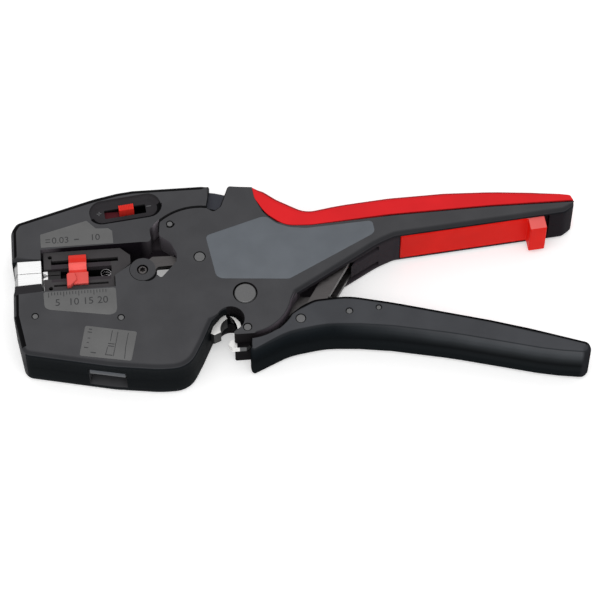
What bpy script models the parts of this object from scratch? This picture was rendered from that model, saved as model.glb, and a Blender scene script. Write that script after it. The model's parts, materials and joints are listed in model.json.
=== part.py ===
"""Hand tool for electricians: a wire stripper with a cutter and a ferrule crimper in one head.

The tool lies on its rear face. Sizes are in millimetres in the tool's own plan, where the
main pivot is at (0, 0), +X runs along the wire towards the handles and +Z is the front face.
"""

import math

import bmesh
import bpy
from mathutils import Matrix, Vector

MM = 0.001

# Overall sizes
THICKNESS = 18.0
FACE_WALL = 2.5
EDGE_ROUND = 1.8
GAP = 0.3
ORIGIN_X = 18.25
ORIGIN_Y = 5.775

# Head, measured from the cartridge's right end to the front
CART_RIGHT_X = -42.9
CART_LENGTH = 23.3
CART_LEFT_X = CART_RIGHT_X - CART_LENGTH
STRIP_AXIS_Y = 13.1
GRIP_JAW_LENGTH = 9.1
GRIP_JAW_HEIGHT = 4.7
GRIP_JAW_DEPTH = 13.0
GRIP_JAW_INSET = 0.6
GRIP_JAW_BEVEL = 1.2
JAW_TO_CART = 0.8
HEAD_FRONT_X = CART_LEFT_X - JAW_TO_CART - GRIP_JAW_LENGTH - GRIP_JAW_INSET
FOOT_SLOPE = 2.5
HEAD_FOOT_Y = -17.2
HEAD_BELLY_Y = -26.2
LEAF_SLOT_LOW = 3.2
LEAF_SLOT_HIGH = 13.0
LEAF_HEIGHT = 3.0

# Upper jaw
JAW_PIVOT = (-14.2, 15.1)
JAW_ARC = 20.0
JAW_ARC_GAP = 0.5
JAW_TOP_Y = 43.2
JAW_OPENING_DEG = 11.5
GUIDE_RADIUS = 27.0
GUIDE_WALL = 3.0
GUIDE_DEPTH = THICKNESS - 2.0 * GUIDE_WALL
ARM_ANGLE_LOW = 84.0
ARM_ANGLE_HIGH = 112.0
ARM_HUB = 5.0

# Strip depth slider in the upper jaw
DIAL_CENTRE = (-38.1, 35.7)
DIAL_TURN_DEG = 6.3
DIAL_HALF_LENGTH = 7.8
DIAL_HALF_WIDTH = 4.3
DIAL_DEPTH = 1.9
DIAL_DISH = 1.2
DIAL_FLOOR = 1.2
DIAL_SLOT_LENGTH = 14.0
DIAL_SLOT_WIDTH = 3.3
KNOB_LENGTH = 5.0
KNOB_WIDTH = 2.1
KNOB_TOP = THICKNESS + 0.5
KNOB_ALONG = 0.45
KNOB_ACROSS = 0.3
KNOB_RIBS = 9
PLATE_LEFT = 7.5
PLATE_RIGHT = 2.6
DIAL_TRAVEL = 3.4

# Blade cartridge, carriage and length stop
CART_TIP_X = -36.9
CART_LOW_Y = 6.1
CART_HIGH_Y = 21.6
CART_INSET = 1.8
CHANNEL_WIDTH = 3.9
CHANNEL_FLOOR = 4.8
CHANNEL_END = 0.8
BLADE_INSET = 0.5
BLADE_LENGTH = 5.0
CARRIAGE_LENGTH = 4.0
SPRING_CENTRE = (-45.6, 13.1)
SPRING_RADIUS = 1.3
SPRING_WIRE = 0.3
SPRING_TURNS = 5
SPRING_TOP = 13.4
STOP_LEFT_X = -57.9
STOP_WIDTH = 5.9
STOP_THICKNESS = 1.1
STOP_TRAVEL_OUT = 3.0
STOP_TRAVEL_IN = 4.0

# Layers between the two faces
ROD_LOW = 5.3
ROD_THICK = 3.0
ROD_WIDTH = 2.8
ROD_CORRIDOR_Y = 4.8
CORE_LOW = 8.6
CORE_THICK = 3.8
LINK_THICK = 2.0
LINK_FRONT_LOW = CORE_LOW + CORE_THICK + GAP
LINK_REAR_LOW = ROD_LOW - GAP - LINK_THICK

# Cutter
CUTTER_PIVOT = (-33.4, 11.6)
CUTTER_BOSS = 4.1
CUTTER_SCREW = 1.6
CUTTER_LOW = 12.4
CUTTER_THICK = 1.9
CUTTER_CLOSING_DEG = 16.0
WINDOW_FOOT = (-27.3, 7.9)
WEB_LOW = 5.5

# Crimper
CRIMP_CENTRE = (-5.5, -9.5)
CRIMP_RADIUS = 4.7
FIXED_DIE_LOW = 9.0
FIXED_DIE_THICK = 2.6
LOBE_Y = -15.5
THROAT_RADIUS = 15.7

# Handles
HANDLE_GAP = 1.0
CORE_HUB = 7.6
MAIN_BOLT = 3.8
HANDLE_CLOSING_DEG = 15.0
HANDLE_ROUND = 2.4
BEAK_X = 9.0
BEAK_SOFT = 0.4
HANDLE_PIN = (17.6, -11.1)
HANDLE_SCREWS = ((33.8, -9.5), (43.6, -8.9))
LINK_FOOT = (22.7, -4.5)
LINK_HEAD = (38.9, 21.0)
LINK_HALF_WIDTH = 2.6
ROD_EYE = 3.2
LINK_PIN = 1.4
STRIP_START = (53.6, 18.6)
STRIP_END = (97.0, 22.4)
LOCK_TRAVEL = 1.5
LOCK_WIDTH = 14.0
LOCK_THICK = 1.2
TAB_LENGTH = 5.6
TAB_HEIGHT = 4.4
UPPER_END_X = 113.2
GRIP_ROUND = 2.2
GRIP_TAPER = 9.0
GRIP_START_SOFT = 0.25
LOWER_END_X = 112.4

# Fasteners
PIN_GAP = 0.3
JAW_PIN = 1.75
RIVET = 0.95
HEAD_RIVETS = ((HEAD_FRONT_X + 7.1, -3.5), (-41.4, -6.1))
SHOULDER_RIVET = (-23.4, 28.7)
DIE_PIN = (-0.1, -13.0)
DIE_PIN_RADIUS = 1.25

TAU = 2.0 * math.pi


def clear_scene():
    for obj in list(bpy.data.objects):
        bpy.data.objects.remove(obj, do_unlink=True)


# Outlines in the plan


def arc(centre, radius, start_deg, end_deg, step_deg=9.0, soft=0.0):
    """Points along a circle from one angle to the other; soft marks how far the edge is rounded."""
    count = max(2, int(math.ceil(abs(end_deg - start_deg) / step_deg)))
    points = []
    for i in range(count + 1):
        angle = math.radians(start_deg + (end_deg - start_deg) * i / count)
        x = centre[0] + radius * math.cos(angle)
        y = centre[1] + radius * math.sin(angle)
        points.append((x, y, soft))
    return points


def bend(corners, soft=0.0, step_deg=15.0):
    """An open run of corners (x, y) or (x, y, radius), each radius drawn as an arc."""
    points = []
    last = len(corners) - 1
    for i, corner in enumerate(corners):
        here = Vector(corner[:2])
        radius = corner[2] if len(corner) > 2 else 0.0
        if radius == 0.0 or i in (0, last):
            points.append((here.x, here.y, soft))
            continue
        back = (Vector(corners[i - 1][:2]) - here).normalized()
        ahead = (Vector(corners[i + 1][:2]) - here).normalized()
        half = back.angle(ahead) / 2.0
        centre = here + (back + ahead).normalized() * radius / math.sin(half)
        start = here + back * radius / math.tan(half) - centre
        turn = back.angle_signed(-ahead)
        count = max(1, int(math.ceil(math.degrees(abs(turn)) / step_deg)))
        for k in range(count + 1):
            point = centre + Matrix.Rotation(-turn * k / count, 2) @ start
            points.append((point.x, point.y, soft))
    return points


def circle(centre, radius, sides=24):
    return [
        (centre[0] + radius * math.cos(TAU * i / sides), centre[1] + radius * math.sin(TAU * i / sides), 0.0)
        for i in range(sides)
    ]


def box(low_x, low_y, high_x, high_y):
    return [(low_x, low_y, 0.0), (high_x, low_y, 0.0), (high_x, high_y, 0.0), (low_x, high_y, 0.0)]


def rounded_box(low_x, low_y, high_x, high_y, radius, soft=0.0):
    points = []
    for x, y, start in (
        (high_x - radius, high_y - radius, 0.0),
        (low_x + radius, high_y - radius, 90.0),
        (low_x + radius, low_y + radius, 180.0),
        (high_x - radius, low_y + radius, 270.0),
    ):
        points += arc((x, y), radius, start, start + 90.0, 30.0, soft)
    return points


def turned(points, centre, degrees):
    """The outline turned about a point of the plan."""
    cos, sin = math.cos(math.radians(degrees)), math.sin(math.radians(degrees))
    return [
        (
            centre[0] + (p[0] - centre[0]) * cos - (p[1] - centre[1]) * sin,
            centre[1] + (p[0] - centre[0]) * sin + (p[1] - centre[1]) * cos,
            p[2],
        )
        for p in points
    ]


def stadium(centre, half_length, half_width, degrees, step_deg=15.0, soft=0.0):
    right = arc((centre[0] + half_length, centre[1]), half_width, -90.0, 90.0, step_deg, soft)
    left = arc((centre[0] - half_length, centre[1]), half_width, 90.0, 270.0, step_deg, soft)
    return turned(right + left, centre, degrees)


def hull(points):
    """The convex outline round the points."""
    ordered = sorted(set((round(p[0], 5), round(p[1], 5)) for p in points))
    runs = []
    for sequence in (ordered, ordered[::-1]):
        run = []
        for p in sequence:
            while len(run) > 1:
                ax, ay = run[-1][0] - run[-2][0], run[-1][1] - run[-2][1]
                if ax * (p[1] - run[-2][1]) - ay * (p[0] - run[-2][0]) > 0:
                    break
                run.pop()
            run.append(p)
        runs += run[:-1]
    return [(x, y, 0.0) for x, y in runs]


def bar(start, end, half_width):
    """The corners of a straight bar with square ends."""
    along = (Vector(end) - Vector(start)).normalized() * half_width
    side = Vector((-along.y, along.x))
    return [
        (p.x, p.y, 0.0)
        for p in (
            Vector(start) - along - side,
            Vector(end) + along - side,
            Vector(end) + along + side,
            Vector(start) - along + side,
        )
    ]


def shifted(points, dx, dy):
    return [(p[0] + dx, p[1] + dy, p[2]) for p in points]


def cleaned(points):
    """The closed outline, anticlockwise, without doubled points."""
    kept = []
    for p in points:
        if not kept or math.hypot(p[0] - kept[-1][0], p[1] - kept[-1][1]) > 0.02:
            kept.append(p)
    if math.hypot(kept[0][0] - kept[-1][0], kept[0][1] - kept[-1][1]) < 0.02:
        kept.pop()
    area = sum(
        kept[i - 1][0] * kept[i][1] - kept[i][0] * kept[i - 1][1] for i in range(len(kept))
    )
    return kept if area > 0 else kept[::-1]


def inward(points):
    """For each point, the step that moves both of its edges inwards by one."""
    steps = []
    for i, p in enumerate(points):
        here = Vector(p[:2])
        back = (here - Vector(points[i - 1][:2])).normalized()
        ahead = (Vector(points[(i + 1) % len(points)][:2]) - here).normalized()
        normal = Vector((-back.y - ahead.y, back.x + ahead.x))
        if normal.length < 1e-6:
            normal = Vector((-back.y, back.x))
        normal.normalize()
        reach = max(0.35, normal.dot(Vector((-back.y, back.x))))
        steps.append(normal / reach)
    return steps


# Solids


def ring_profile(low, high, round_low, round_high, steps):
    """Heights and insets from the low face to the high one, with quarter-round edges."""
    rings = []
    if round_low:
        for i in range(steps + 1):
            t = math.pi / 2.0 * i / steps
            rings.append((low + round_low * (1.0 - math.sin(t)), round_low * (1.0 - math.cos(t))))
        rings.reverse()
    else:
        rings.append((low, 0.0))
    if round_high:
        for i in range(steps + 1):
            t = math.pi / 2.0 * i / steps
            rings.append((high - round_high * (1.0 - math.sin(t)), round_high * (1.0 - math.cos(t))))
    else:
        rings.append((high, 0.0))
    return rings


def lofted(points, rings):
    """A mesh through one inset copy of the outline for each ring, capped at both ends."""
    points = cleaned(points)
    steps = inward(points)
    bm = bmesh.new()
    loops = []
    for height, inset in rings:
        loop = []
        for p, step in zip(points, steps):
            at = Vector(p[:2]) + step * inset * p[2]
            loop.append(bm.verts.new((at.x * MM, at.y * MM, height * MM)))
        loops.append(loop)
    count = len(points)
    for low, high in zip(loops, loops[1:]):
        for i in range(count):
            k = (i + 1) % count
            bm.faces.new((low[i], low[k], high[k], high[i]))
    bm.faces.new(loops[0][::-1])
    bm.faces.new(loops[-1])
    bmesh.ops.remove_doubles(bm, verts=bm.verts, dist=1e-6)
    bmesh.ops.recalc_face_normals(bm, faces=bm.faces)
    return bm


def solid(name, points, low, high, round_low=0.0, round_high=0.0, steps=3):
    """A named object from an outline of the plan between two heights."""
    bm = lofted(points, ring_profile(low, high, round_low, round_high, steps))
    return from_bmesh(name, bm)


def from_bmesh(name, bm):
    mesh = bpy.data.meshes.new(name)
    bm.to_mesh(mesh)
    bm.free()
    obj = bpy.data.objects.new(name, mesh)
    bpy.context.collection.objects.link(obj)
    obj.parent = TOOL
    return obj


def join(target, other, operation="UNION"):
    """Adds or cuts another solid, which stays in the file as a hidden guide."""
    other.hide_render = True
    other.display_type = "WIRE"
    modifier = target.modifiers.new(other.name, "BOOLEAN")
    modifier.operation = operation
    modifier.solver = "EXACT"
    modifier.object = other
    return target


def cut(target, points, low, high, name="cutter"):
    return join(target, solid(target.name + "_" + name, points, low, high), "DIFFERENCE")


def add(target, points, low, high, name="boss", round_high=0.0):
    return join(target, solid(target.name + "_" + name, points, low, high, 0.0, round_high), "UNION")


def turned_pin(name, centre, profile, sides=24):
    """A pin turned from (radius, height) pairs, listed from the rear end to the front end."""
    bm = bmesh.new()
    loops = []
    for radius, height in profile:
        loops.append(
            [
                bm.verts.new(
                    (
                        (centre[0] + radius * math.cos(TAU * i / sides)) * MM,
                        (centre[1] + radius * math.sin(TAU * i / sides)) * MM,
                        height * MM,
                    )
                )
                for i in range(sides)
            ]
        )
    for low, high in zip(loops, loops[1:]):
        for i in range(sides):
            k = (i + 1) % sides
            bm.faces.new((low[i], low[k], high[k], high[i]))
    bm.faces.new(loops[0][::-1])
    bm.faces.new(loops[-1])
    return from_bmesh(name, bm)


def paint(obj, colour, roughness, metallic=0.0):
    material = bpy.data.materials.new(obj.name + "_finish")
    material.use_nodes = True
    shader = material.node_tree.nodes["Principled BSDF"]
    shader.inputs["Base Color"].default_value = (*colour, 1.0)
    shader.inputs["Roughness"].default_value = roughness
    shader.inputs["Metallic"].default_value = metallic
    obj.data.materials.append(material)


def carry(obj, axis):
    """Hangs a moving piece on its joint's empty, with the piece's origin on the axis."""
    obj.data.transform(Matrix.Translation(-axis.location))
    obj.parent = axis
    for modifier in obj.modifiers:
        if modifier.type == "BOOLEAN" and modifier.object.parent == TOOL:
            guide = modifier.object
            guide.data.transform(Matrix.Translation(-axis.location))
            guide.parent = axis


def empty(name, x, y, z, parent=None):
    obj = bpy.data.objects.new(name, None)
    obj.empty_display_size = 0.004
    obj.location = (x * MM, y * MM, z * MM)
    obj.parent = parent
    bpy.context.collection.objects.link(obj)
    return obj


def smooth(obj):
    obj.data.shade_smooth()
    obj.data.set_sharp_from_angle(angle=math.radians(35.0))


DARK = (0.065, 0.065, 0.072)
BLACK = (0.02, 0.021, 0.024)
RED = (0.75, 0.025, 0.02)
STEEL = (0.55, 0.54, 0.53)
BRIGHT = (0.82, 0.82, 0.82)


def dark_plastic(obj):
    paint(obj, DARK, 0.5)


def black_plastic(obj):
    paint(obj, BLACK, 0.45)


def red_plastic(obj):
    paint(obj, RED, 0.42)


def steel(obj):
    paint(obj, STEEL, 0.35, 1.0)


def bright_steel(obj):
    paint(obj, BRIGHT, 0.25, 1.0)


# Outlines of the housing and its neighbours

MID = THICKNESS / 2.0


def link_travel(degrees):
    """How far the links draw the rod when the lower handle closes by an angle."""
    turn = math.radians(degrees)
    foot = Matrix.Rotation(turn, 2) @ Vector(LINK_FOOT)
    length = math.hypot(LINK_HEAD[0] - LINK_FOOT[0], LINK_HEAD[1] - LINK_FOOT[1])
    rise = LINK_HEAD[1] - foot.y
    return foot.x + math.sqrt(length * length - rise * rise) - LINK_HEAD[0]


CARRIAGE_TRAVEL = link_travel(HANDLE_CLOSING_DEG)


def link_angles():
    """The links' direction seen from the lower handle, with the handle open and closed."""
    rise = LINK_HEAD[1] - LINK_FOOT[1]
    rest = math.degrees(math.atan2(rise, LINK_HEAD[0] - LINK_FOOT[0]))
    foot = Matrix.Rotation(math.radians(HANDLE_CLOSING_DEG), 2) @ Vector(LINK_FOOT)
    across = LINK_HEAD[0] + CARRIAGE_TRAVEL - foot.x
    return rest, math.degrees(math.atan2(LINK_HEAD[1] - foot.y, across)) - HANDLE_CLOSING_DEG


JAW_SEAT_TOP = STRIP_AXIS_Y + GRIP_JAW_HEIGHT
JAW_SEAT_LOW = STRIP_AXIS_Y - GRIP_JAW_HEIGHT


def grip_edge():
    """The line where the red grip meets the housing, from the body's top to the handle's end."""
    return bend(
        (
            (5.0, 42.0),
            (5.6, 36.6, 6.0),
            (9.0, 30.3, 12.0),
            (15.0, 25.2, 9.0),
            (23.5, 24.6, 30.0),
            (50.0, 26.7, 60.0),
            (84.9, 27.6, 60.0),
            (UPPER_END_X + 2.0, 27.4),
        ),
        0.0,
        8.0,
    )


def strip_line(x):
    """The height of the handle's underside at x."""
    rise = (STRIP_END[1] - STRIP_START[1]) / (STRIP_END[0] - STRIP_START[0])
    return STRIP_START[1] + (x - STRIP_START[0]) * rise


def housing_outline():
    """Both housing halves: lower head, crimp mouth, throat, upper handle, shoulder and cutter mouth."""
    points = bend(
        (
            (HEAD_FRONT_X, -3.0),
            (HEAD_FRONT_X + FOOT_SLOPE, HEAD_FOOT_Y, 3.5),
            (-45.0, -24.0, 30.0),
            (-30.0, HEAD_BELLY_Y, 20.0),
            (-20.1, HEAD_BELLY_Y, 8.5),
            (-15.2, -17.0, 12.0),
            (-11.6, -9.4),
        ),
        1.0,
    )
    points += arc(CRIMP_CENTRE, CRIMP_RADIUS, 150.0, -38.0, 12.0)
    points += bend(((-4.6, LOBE_Y + 1.0), (-4.6, LOBE_Y, 0.6), (2.0, LOBE_Y)))
    points += arc((0.0, 0.0), THROAT_RADIUS, -79.0, -14.0, 8.0, 0.5)
    points += bend(
        (
            (17.2, -1.0),
            (45.4, 15.9, 20.0),
            (51.5, strip_line(51.5), 6.0),
            (97.0, strip_line(97.0), 30.0),
            (109.6, 23.5, 3.6),
            (111.9, 25.2),
        ),
        1.0,
        10.0,
    )
    points[-1] = (111.9, 25.2, 0.8)
    points += [(112.8, 26.2, 0.35), (UPPER_END_X, 27.4 - GAP, 0.0)]
    points += [(x, y - GAP, 0.0) for x, y, _ in grip_edge()[::-1][1:-1]]
    shoulder = ((5.0, 40.0), (4.9, 41.0), (-3.1, 42.4, 1.2), (-6.3, 34.3, 1.6), (-8.4, 32.8, 0.8), (-10.2, 34.0))
    points += bend(shoulder, 0.3)
    points += arc(JAW_PIVOT, JAW_ARC - JAW_ARC_GAP, 79.0, 131.5, 7.0)
    points += bend(
        (
            (-27.4, 27.6),
            (-27.2, 24.2, 3.0),
            (-23.6, 21.4, 4.0),
            (-21.6, 16.8, 3.0),
            (-22.0, 13.8, 1.2),
            (WINDOW_FOOT[0], WINDOW_FOOT[1], 0.7),
            (-29.3, 9.8),
        )
    )
    points += arc(CUTTER_PIVOT, CUTTER_BOSS, -12.0, 132.0, 14.0)
    points += [
        (CART_RIGHT_X + GAP, 10.2, 0.0),
        (CART_RIGHT_X + GAP, CART_LOW_Y - GAP, 0.0),
        (CART_LEFT_X - GAP, CART_LOW_Y - GAP, 0.0),
        (CART_LEFT_X - GAP, JAW_SEAT_LOW - GAP, 1.0),
    ]
    points += bend(
        (
            (HEAD_FRONT_X + 3.0, JAW_SEAT_LOW - GAP),
            (HEAD_FRONT_X + 0.2, JAW_SEAT_LOW - GAP, 2.2),
            (HEAD_FRONT_X, -3.0),
        ),
        1.0,
    )
    return points


def upper_jaw_outline():
    """Both halves of the upper jaw, whose rear edge is an arc about the jaw's pivot."""
    foot = CART_HIGH_Y + GAP
    seat = HEAD_FRONT_X + GRIP_JAW_INSET + GRIP_JAW_LENGTH
    points = [
        (seat, JAW_SEAT_TOP + GAP, 0.0),
        (seat, foot, 0.0),
        (-34.0, foot + 0.4, 0.0),
    ]
    points += bend(((-32.0, foot + 0.3), (-29.8, foot + 0.2, 1.4), (-30.2, 25.4)))
    points += arc(JAW_PIVOT, JAW_ARC, 143.5, 80.5, 7.0)
    points += [(-10.2, 38.0, 0.0), (-9.3, JAW_TOP_Y, 0.4)]
    points += bend(
        (
            (-12.0, JAW_TOP_Y),
            (-38.0, JAW_TOP_Y - 0.4, 30.0),
            (-50.0, 40.4, 40.0),
            (HEAD_FRONT_X + 1.9, 33.2, 3.0),
            (HEAD_FRONT_X, 30.0, 4.0),
            (HEAD_FRONT_X, JAW_SEAT_TOP + GAP),
        ),
        1.0,
    )
    return points


def rod_line():
    carriage = (CART_RIGHT_X - 4.0, STRIP_AXIS_Y)
    return (carriage, (-41.0, ROD_CORRIDOR_Y), (-20.0, ROD_CORRIDOR_Y), LINK_HEAD)


def rod_sweeps(clearance):
    """The room that each straight part of the draw rod passes through on its stroke."""
    rooms = []
    line = rod_line()
    for start, end in zip(line, line[1:]):
        corners = bar(start, end, ROD_WIDTH / 2.0 + clearance)
        rooms.append(hull(corners + shifted(corners, CARRIAGE_TRAVEL, 0.0)))
    return rooms


def sector(centre, inner, outer, start_deg, end_deg, step_deg=10.0):
    outer_run = arc(centre, outer, start_deg, end_deg, step_deg)
    inner_run = arc(centre, inner, end_deg, start_deg, step_deg)
    return outer_run + inner_run


def lower_handle_outline():
    """Both halves of the lower handle, whose nose is concentric with the main pivot."""
    nose = THROAT_RADIUS + HANDLE_GAP
    points = arc((0.0, 0.0), nose, -88.0, -31.0, 6.0, 0.6)
    points += bend(
        (
            (18.0, -5.6),
            (22.5, -3.5, 8.0),
            (34.0, -2.9, 25.0),
            (49.4, -6.8, 120.0),
            (86.3, -17.6, 200.0),
            (LOWER_END_X - 0.4, -27.0, 2.6),
            (LOWER_END_X - 1.0, -32.0, 2.6),
            (98.6, -30.0, 60.0),
            (67.6, -21.4, 120.0),
            (42.5, -15.8, 80.0),
            (26.0, -14.4, 30.0),
            (14.0, -16.2, 20.0),
            (0.6, -22.0, 1.2),
            (0.3, -19.8),
        ),
        1.0,
        8.0,
    )
    return [(x, y, min(soft, BEAK_SOFT) if x < BEAK_X else soft) for x, y, soft in points]


# Housing


def housing_half(name, low, high, front):
    rounding = (0.0, EDGE_ROUND) if front else (EDGE_ROUND, 0.0)
    obj = solid(name, housing_outline(), low, high, *rounding)
    if not front:
        add(obj, cutter_web(), WEB_LOW, high, "web")
    inner_low, inner_high = FACE_WALL, THICKNESS - FACE_WALL
    core_low, core_high = CORE_LOW - GAP, CORE_LOW + CORE_THICK + GAP
    cut(obj, circle((0.0, 0.0), CORE_HUB + GAP, 32), core_low, core_high, "hub")
    swing = sector((0.0, 0.0), 3.0, THROAT_RADIUS + 4.0, -72.0, 55.0)
    cut(obj, swing, core_low, core_high, "swing")
    arm_room = hull(((-3.0, 4.0), (-12.2, -1.0), (-14.2, -6.0), (-12.4, -11.0), (-6.6, -8.0), (2.0, -5.0)))
    cut(obj, arm_room, CORE_LOW - 2.6, core_high, "arm")
    arm = arm_outline(GAP)
    cut(obj, hull(arm + turned(arm, JAW_PIVOT, -JAW_OPENING_DEG)), core_low, core_high, "jaw_swing")
    guide_room = sector(JAW_PIVOT, JAW_ARC - 2.0, GUIDE_RADIUS + GAP, 48.0, 84.0)
    cut(obj, guide_room, MID - GUIDE_DEPTH / 2.0 - GAP, MID + GUIDE_DEPTH / 2.0 + GAP, "guide")
    link_room = bend(
        (
            (17.2, 0.8),
            (21.0, -4.0),
            (30.9, 2.1),
            (40.6, 17.2),
            (46.0, 17.2),
            (50.5, 19.0),
            (50.5, 24.6),
            (34.6, 24.6),
            (19.0, 8.0),
        )
    )
    cut(obj, link_room, inner_low, inner_high, "links")
    link_slit = bend(((28.0, 1.0), (46.0, 11.0), (46.0, 18.0), (38.0, 18.0)))
    if front:
        cut(obj, link_slit, LINK_FRONT_LOW - GAP, LINK_FRONT_LOW + LINK_THICK + GAP, "link_slit")
    else:
        cut(obj, link_slit, LINK_REAR_LOW - GAP, LINK_REAR_LOW + LINK_THICK + GAP, "link_slit")
    cutter_room = hull(((-24.0, 20.0), (-18.2, 17.6), (-18.2, 9.4), (-24.0, 7.6)))
    cut(obj, cutter_room, CUTTER_LOW - GAP, CUTTER_LOW + CUTTER_THICK + GAP, "cutter_tail")
    cut(obj, circle(CUTTER_PIVOT, CUTTER_SCREW + PIN_GAP), -1.0, THICKNESS + 1.0, "cutter_screw")
    if front:
        cut(obj, circle(CUTTER_PIVOT, CUTTER_BOSS + GAP, 32), CUTTER_LOW - GAP, THICKNESS + 1.0, "cutter_seat")
    anvil = anvil_outline(GAP)
    cut(obj, anvil, ANVIL_LOW - GAP, CUTTER_LOW, "anvil_seat")
    leaf = turned(rounded_box(-53.4, -29.0, -40.8, -19.5, 1.0), (-47.0, -24.0), -12.5)
    cut(obj, leaf, LEAF_SLOT_LOW, LEAF_SLOT_HIGH, "leaf_slot")
    die = fixed_die_outline(GAP)
    cut(obj, die, FIXED_DIE_LOW - GAP, FIXED_DIE_LOW + FIXED_DIE_THICK + GAP, "die_slot")
    groove = lock_bar_outline(GAP)
    cut(obj, groove, MID - LOCK_WIDTH / 2.0 - GAP, MID + LOCK_WIDTH / 2.0 + GAP, "lock_groove")
    for i, at in enumerate(HEAD_RIVETS + (SHOULDER_RIVET,)):
        cut(obj, circle(at, RIVET + PIN_GAP, 16), -1.0, THICKNESS + 1.0, "rivet_hole_%d" % (i + 1))
    cut(obj, circle(DIE_PIN, DIE_PIN_RADIUS + PIN_GAP, 16), -1.0, THICKNESS + 1.0, "die_pin_hole")
    cut(obj, circle(JAW_PIVOT, JAW_PIN + PIN_GAP), -1.0, THICKNESS + 1.0, "jaw_pin_hole")
    cut(obj, circle((0.0, 0.0), MAIN_BOLT + PIN_GAP, 32), -1.0, THICKNESS + 1.0, "bolt_hole")
    if not front:
        for i, room in enumerate(rod_sweeps(0.4)):
            cut(obj, room, ROD_LOW - GAP, high + 1.0, "rod_room_%d" % i)
    smooth(obj)
    dark_plastic(obj)
    return obj


def cutter_web():
    """Web of the rear half above the cutter window, from the cutter's boss to the jaw's arc."""
    points = arc(JAW_PIVOT, JAW_ARC - JAW_ARC_GAP, 131.5, 160.0, 7.0)
    points += bend(((-33.4, CART_HIGH_Y), (-33.4, 15.2), (-30.2, 14.4), (-28.6, 18.3), (-20.0, 18.3), (-20.0, 24.0)))
    return points


def housing():
    housing_half("housing_front", MID + GAP / 2.0, THICKNESS, True)
    housing_half("housing_rear", 0.0, MID - GAP / 2.0, False)


def grip_insert():
    """Soft red grip along the back of the upper handle, from one face to the other."""
    points = [(x, y, 0.0) for x, y, _ in grip_edge()[1:-1]]
    points[0] = (5.3, 40.2, 0.0)
    top = bend(
        (
            (UPPER_END_X - 0.4, 27.4),
            (UPPER_END_X - 1.2, 29.7, 1.4),
            (108.8, 30.8, 8.0),
            (100.0, 32.2, 40.0),
            (85.6, 33.6, 80.0),
            (60.0, 34.6, 150.0),
            (33.7, 32.3, 60.0),
            (22.4, 30.4, 9.0),
            (13.0, 36.2, 16.0),
            (8.6, 39.9, 6.0),
            (5.3, 41.0),
        ),
        1.0,
        8.0,
    )
    start = top[-1][:2] + (GRIP_START_SOFT,)
    top = [(x, y, min(1.0, max(0.0, (UPPER_END_X - x) / GRIP_TAPER))) for x, y, _ in top[:-1]] + [start]
    obj = solid("grip_insert", points + top, 0.0, THICKNESS, GRIP_ROUND, GRIP_ROUND, 4)
    smooth(obj)
    red_plastic(obj)


def grip_jaw(name, low_y, high_y, low_corner):
    """Hardened jaw plate that holds the cable, with a lead-in at its front end."""
    front = HEAD_FRONT_X + GRIP_JAW_INSET
    if low_corner:
        points = bend(((front + 3.0, high_y), (front + 1.6, high_y), (front, high_y - 0.8)))
        points += [(front, low_y, 0.0), (front + GRIP_JAW_LENGTH, low_y, 0.0), (front + GRIP_JAW_LENGTH, high_y, 0.0)]
    else:
        points = bend(((front, low_y + 0.8), (front + 1.6, low_y), (front + 3.0, low_y)))
        points += [(front + GRIP_JAW_LENGTH, low_y, 0.0), (front + GRIP_JAW_LENGTH, high_y, 0.0), (front, high_y, 0.0)]
    top = MID + GRIP_JAW_DEPTH / 2.0
    obj = solid(name, points, MID - GRIP_JAW_DEPTH / 2.0, top)
    join(obj, front_slope(name + "_slope", front, low_y, high_y, top), "DIFFERENCE")
    bright_steel(obj)
    return obj


def front_slope(name, front, low_y, high_y, top):
    """The wedge that is ground off the front end of a jaw plate."""
    bm = bmesh.new()
    loops = []
    for y in (low_y - 1.0, high_y + 1.0):
        corners = (
            (front - 1.0, top - GRIP_JAW_BEVEL - 1.0),
            (front + GRIP_JAW_BEVEL + 1.0, top + 1.0),
            (front - 1.0, top + 1.0),
        )
        loops.append([bm.verts.new((x * MM, y * MM, z * MM)) for x, z in corners])
    for i in range(3):
        k = (i + 1) % 3
        bm.faces.new((loops[0][i], loops[0][k], loops[1][k], loops[1][i]))
    bm.faces.new(loops[0][::-1])
    bm.faces.new(loops[1])
    bmesh.ops.recalc_face_normals(bm, faces=bm.faces)
    return from_bmesh(name, bm)


def rivet(name, at):
    obj = turned_pin(
        name,
        at,
        (
            (RIVET, 0.2),
            (RIVET, THICKNESS - 0.2),
        ),
        16,
    )
    smooth(obj)
    steel(obj)


def fasteners():
    for name, at in zip(("head_pin_front", "head_pin_rear"), HEAD_RIVETS):
        rivet(name, at)
    rivet("shoulder_pin", SHOULDER_RIVET)
    pin = turned_pin("jaw_pivot_pin", JAW_PIVOT, ((JAW_PIN, 0.2), (JAW_PIN, THICKNESS - 0.2)))
    smooth(pin)
    steel(pin)
    bolt = turned_pin(
        "main_pivot_bolt",
        (0.0, 0.0),
        (
            (MAIN_BOLT - 0.4, 0.1),
            (MAIN_BOLT, 0.5),
            (MAIN_BOLT, THICKNESS - 0.5),
            (MAIN_BOLT - 0.4, THICKNESS - 0.1),
        ),
        32,
    )
    smooth(bolt)
    steel(bolt)
    pin = turned_pin("die_pin", DIE_PIN, ((DIE_PIN_RADIUS, 0.2), (DIE_PIN_RADIUS, THICKNESS - 0.2)), 16)
    smooth(pin)
    steel(pin)


# Cutter

ANVIL_LOW = 9.2


def anvil_outline(clearance=0.0):
    """Steel counter blade below the cutter window, set into the head."""
    return bend(
        (
            (-31.2 - clearance, 7.0),
            (-31.2 - clearance, 3.0 - clearance),
            (-20.4 + clearance, 3.0 - clearance),
            (-20.4 + clearance, 13.6 + clearance),
            (-22.9, 13.6 + clearance),
            (WINDOW_FOOT[0], 9.6),
        )
    )


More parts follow.
